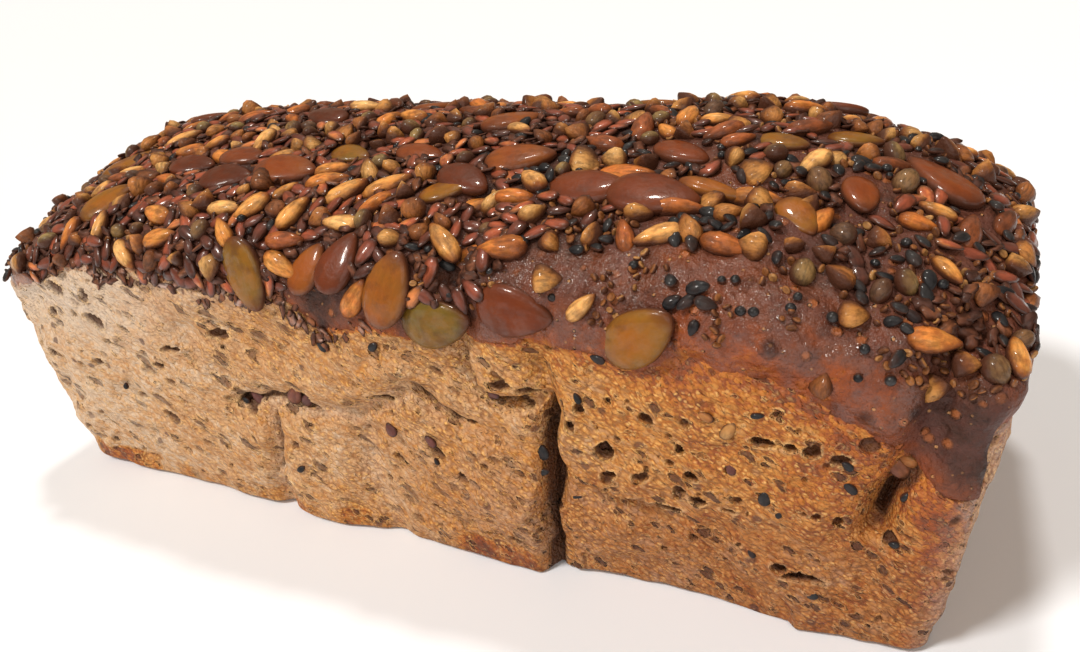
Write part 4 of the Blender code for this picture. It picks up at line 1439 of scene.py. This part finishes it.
CHIP_TONES = (
    (0.00, (0.340, 0.230, 0.190)),
    (0.12, (0.240, 0.130, 0.095)),
    (0.22, (0.150, 0.052, 0.020)),
    (0.45, (0.090, 0.031, 0.016)),
    (1.00, (0.036, 0.015, 0.011)),
)
chip_finish = seed_material(
    "bran_chip", CHIP_TONES, lit=(2.1, 2.1, 2.1), edge=(0.035, 0.013, 0.009),
    gloss=0.45, wrinkle=0.7, depth=0.08, coated=0.4)
chipped = (paved * 0.9 + 0.1 * right) * (1 - bare_share)
chips = strew(
    (3.0, 1.9, 0.6), 1100, reach=0.5, sunk=0.05, wander=34, lowest=0.4,
    cover=chipped, salt=271, stack=0.6)
chips = [(centre, axes, sizes, 0.25 + 0.75 * tone) for centre, axes, sizes, tone in chips]
FRINGE_FROM = -64.0
FRINGE_TO = 4.0
FRINGE_CHIPS = 90
fringe_x = np.array([rng.uniform(FRINGE_FROM, FRINGE_TO) for _ in range(FRINGE_CHIPS)])
fringe_off = np.array([rng.triangular(-3.2, 3.0, 0.0) for _ in fringe_x])
fringe_z = np.interp(fringe_x, *zip(*CRUST_EDGE)) + fringe_off
places, normals = skin(np.stack([fringe_x, np.full(FRINGE_CHIPS, -HALF_WIDTH), fringe_z], axis=1))
for place, normal in zip(places, normals):
    sizes = (rng.uniform(1.6, 4.6), rng.uniform(0.8, 2.0), 0.5)
    axes = seed_axes(normal, rng.uniform(0, 360), rng.uniform(-18, 18), rng.uniform(-18, 18))
    chips.append((place + normal * rng.uniform(-0.1, 0.25), axes, sizes, rng.uniform(0.0, 0.60)))
sow("bran_chips", [seed_template(6, 5, chip_shape)], chips, chip_finish)

# Seeds baked into the front wall, pressed flat by the tin: black sesame, purple seed coats and husks.
# Each lies almost flush with the crumb. The list gives (x, z), length and tone.
WALL_SEEDS = (
    (70, 41.5, 2.0, 0.9), (83.5, 34, 1.9, 0.9), (84.5, 30, 2.6, 0.9), (72.5, 26.5, 2.6, 0.9),
    (75, 24, 1.5, 0.9), (71.5, 13.5, 1.8, 0.9), (82, 6.5, 2.6, 0.9), (42, 39, 2.0, 0.9),
    (45.5, 46.5, 2.6, 0.9), (94, 28, 1.8, 0.9), (94, 19.5, 1.6, 0.9), (34, 25, 3.0, 0.9),
    (34, 21, 2.6, 0.9), (40, 16, 2.0, 0.9), (-34, 24, 2.2, 0.9), (-66, 24, 1.6, 0.9),
    (-20, 12, 2.2, 0.9), (13, 20, 1.5, 0.9), (-8, 41, 2.4, 0.9), (4, 43, 2.2, 0.9),
    (-31, 25, 4.6, 0.45), (-19.5, 28, 4.4, 0.35), (-17, 27, 3.2, 0.5), (12, 24, 2.8, 0.4),
    (25, 35.5, 3.0, 0.4), (66.2, 38.4, 3.4, 0.14), (62.8, 40.4, 2.6, 0.20), (26.5, 37, 2.6, 0.5),
    (67, 31, 2.4, 0.4), (3, 24.5, 3.0, 0.4), (91.5, 32, 4.8, 0.3), (93.5, 33, 3.0, 0.2),
)
WALL_TONES = (
    (0.00, (0.620, 0.380, 0.130)),
    (0.20, (0.330, 0.120, 0.034)),
    (0.38, (0.130, 0.045, 0.038)),
    (0.60, (0.075, 0.034, 0.032)),
    (0.85, (0.018, 0.018, 0.020)),
)
wall_finish = seed_material(
    "seed_in_crumb", WALL_TONES, lit=(1.1, 1.1, 1.1), edge=(0.02, 0.015, 0.015),
    gloss=0.45, wrinkle=0.8, depth=0.08, coated=0.2, crease_shade=0.5, mottle=0.2)
places, normals = skin(np.array([(x, -HALF_WIDTH, z) for x, z, _, _ in WALL_SEEDS], float))
wall_seeds = []
for (_, _, length, tone), place, normal in zip(WALL_SEEDS, places, normals):
    sizes = (length, length * rng.uniform(0.5, 0.75), 1.1)
    wall_seeds.append((place + normal * 0.05, seed_axes(normal, rng.uniform(0, 180), 8, 8), sizes, tone))
sow("seeds_in_front_wall", [seed_template(9, 7, drop(0.25))], wall_seeds, wall_finish)

# The stage: a plain pale floor, with soft light from the front left, from above behind and from the right.
# The camera stands where the photo was taken from, close to the right end.
FLOOR_SIZE = 60.0
bm = bmesh.new()
bmesh.ops.create_grid(bm, x_segments=1, y_segments=1, size=FLOOR_SIZE / 2)
floor_mesh = bpy.data.meshes.new("floor")
bm.to_mesh(floor_mesh)
bm.free()
floor = put("floor", floor_mesh)
floor_finish, tree, shader = new_material("pale_floor")
shader.inputs["Base Color"].default_value = (0.86, 0.90, 0.97, 1)
shader.inputs["Roughness"].default_value = 0.5
floor_mesh.materials.append(floor_finish)


def soft_sun(name, heading, height, spread, power, colour):
    """A soft light from far off: the side it comes from, its height and how wide it looks, in degrees."""
    lamp = bpy.data.lights.new(name, "SUN")
    lamp.angle = math.radians(spread)
    lamp.energy = power
    lamp.color = colour
    made = put(name, lamp)
    side, up = math.radians(heading), math.radians(height)
    source = Vector((math.sin(side) * math.cos(up), -math.cos(side) * math.cos(up), math.sin(up)))
    made.location = source
    made.rotation_mode = "QUATERNION"
    made.rotation_quaternion = (-source).to_track_quat("-Z", "Y")


soft_sun("window_light", heading=-35, height=50, spread=12, power=2.45, colour=(1.0, 0.955, 0.89))
soft_sun("ceiling_light", heading=205, height=72, spread=6, power=1.25, colour=(1.0, 0.94, 0.86))
soft_sun("front_fill", heading=30, height=30, spread=50, power=0.85, colour=(1.0, 0.96, 0.92))
world = bpy.data.worlds.new("room")
world.use_nodes = True
world.node_tree.nodes["Background"].inputs["Color"].default_value = (1.0, 0.80, 0.60, 1)
world.node_tree.nodes["Background"].inputs["Strength"].default_value = 0.30
bpy.context.scene.world = world
bpy.context.scene.view_settings.view_transform = "Standard"

CAMERA_PLACE = (0.0896, -0.1510, 0.1039)
CAMERA_HEADING = -27.1
CAMERA_DOWN = 24.3
CAMERA_ROLL = -5.07
CAMERA_LENS = 28.94
heading, down, roll = (math.radians(angle) for angle in (CAMERA_HEADING, CAMERA_DOWN, CAMERA_ROLL))
ahead = Vector((math.sin(heading) * math.cos(down), math.cos(heading) * math.cos(down), -math.sin(down)))
level = Vector((math.cos(heading), -math.sin(heading), 0))
upward = level.cross(ahead)
turned_right = level * math.cos(roll) + upward * math.sin(roll)
turned_up = upward * math.cos(roll) - level * math.sin(roll)
lens = bpy.data.cameras.new("camera")
lens.lens = CAMERA_LENS
lens.sensor_width = 36
lens.clip_start = 0.005
camera = put("camera", lens)
axes = Matrix((turned_right, turned_up, -ahead)).transposed()
camera.matrix_world = Matrix.Translation(CAMERA_PLACE) @ axes.to_4x4()
bpy.context.scene.camera = camera
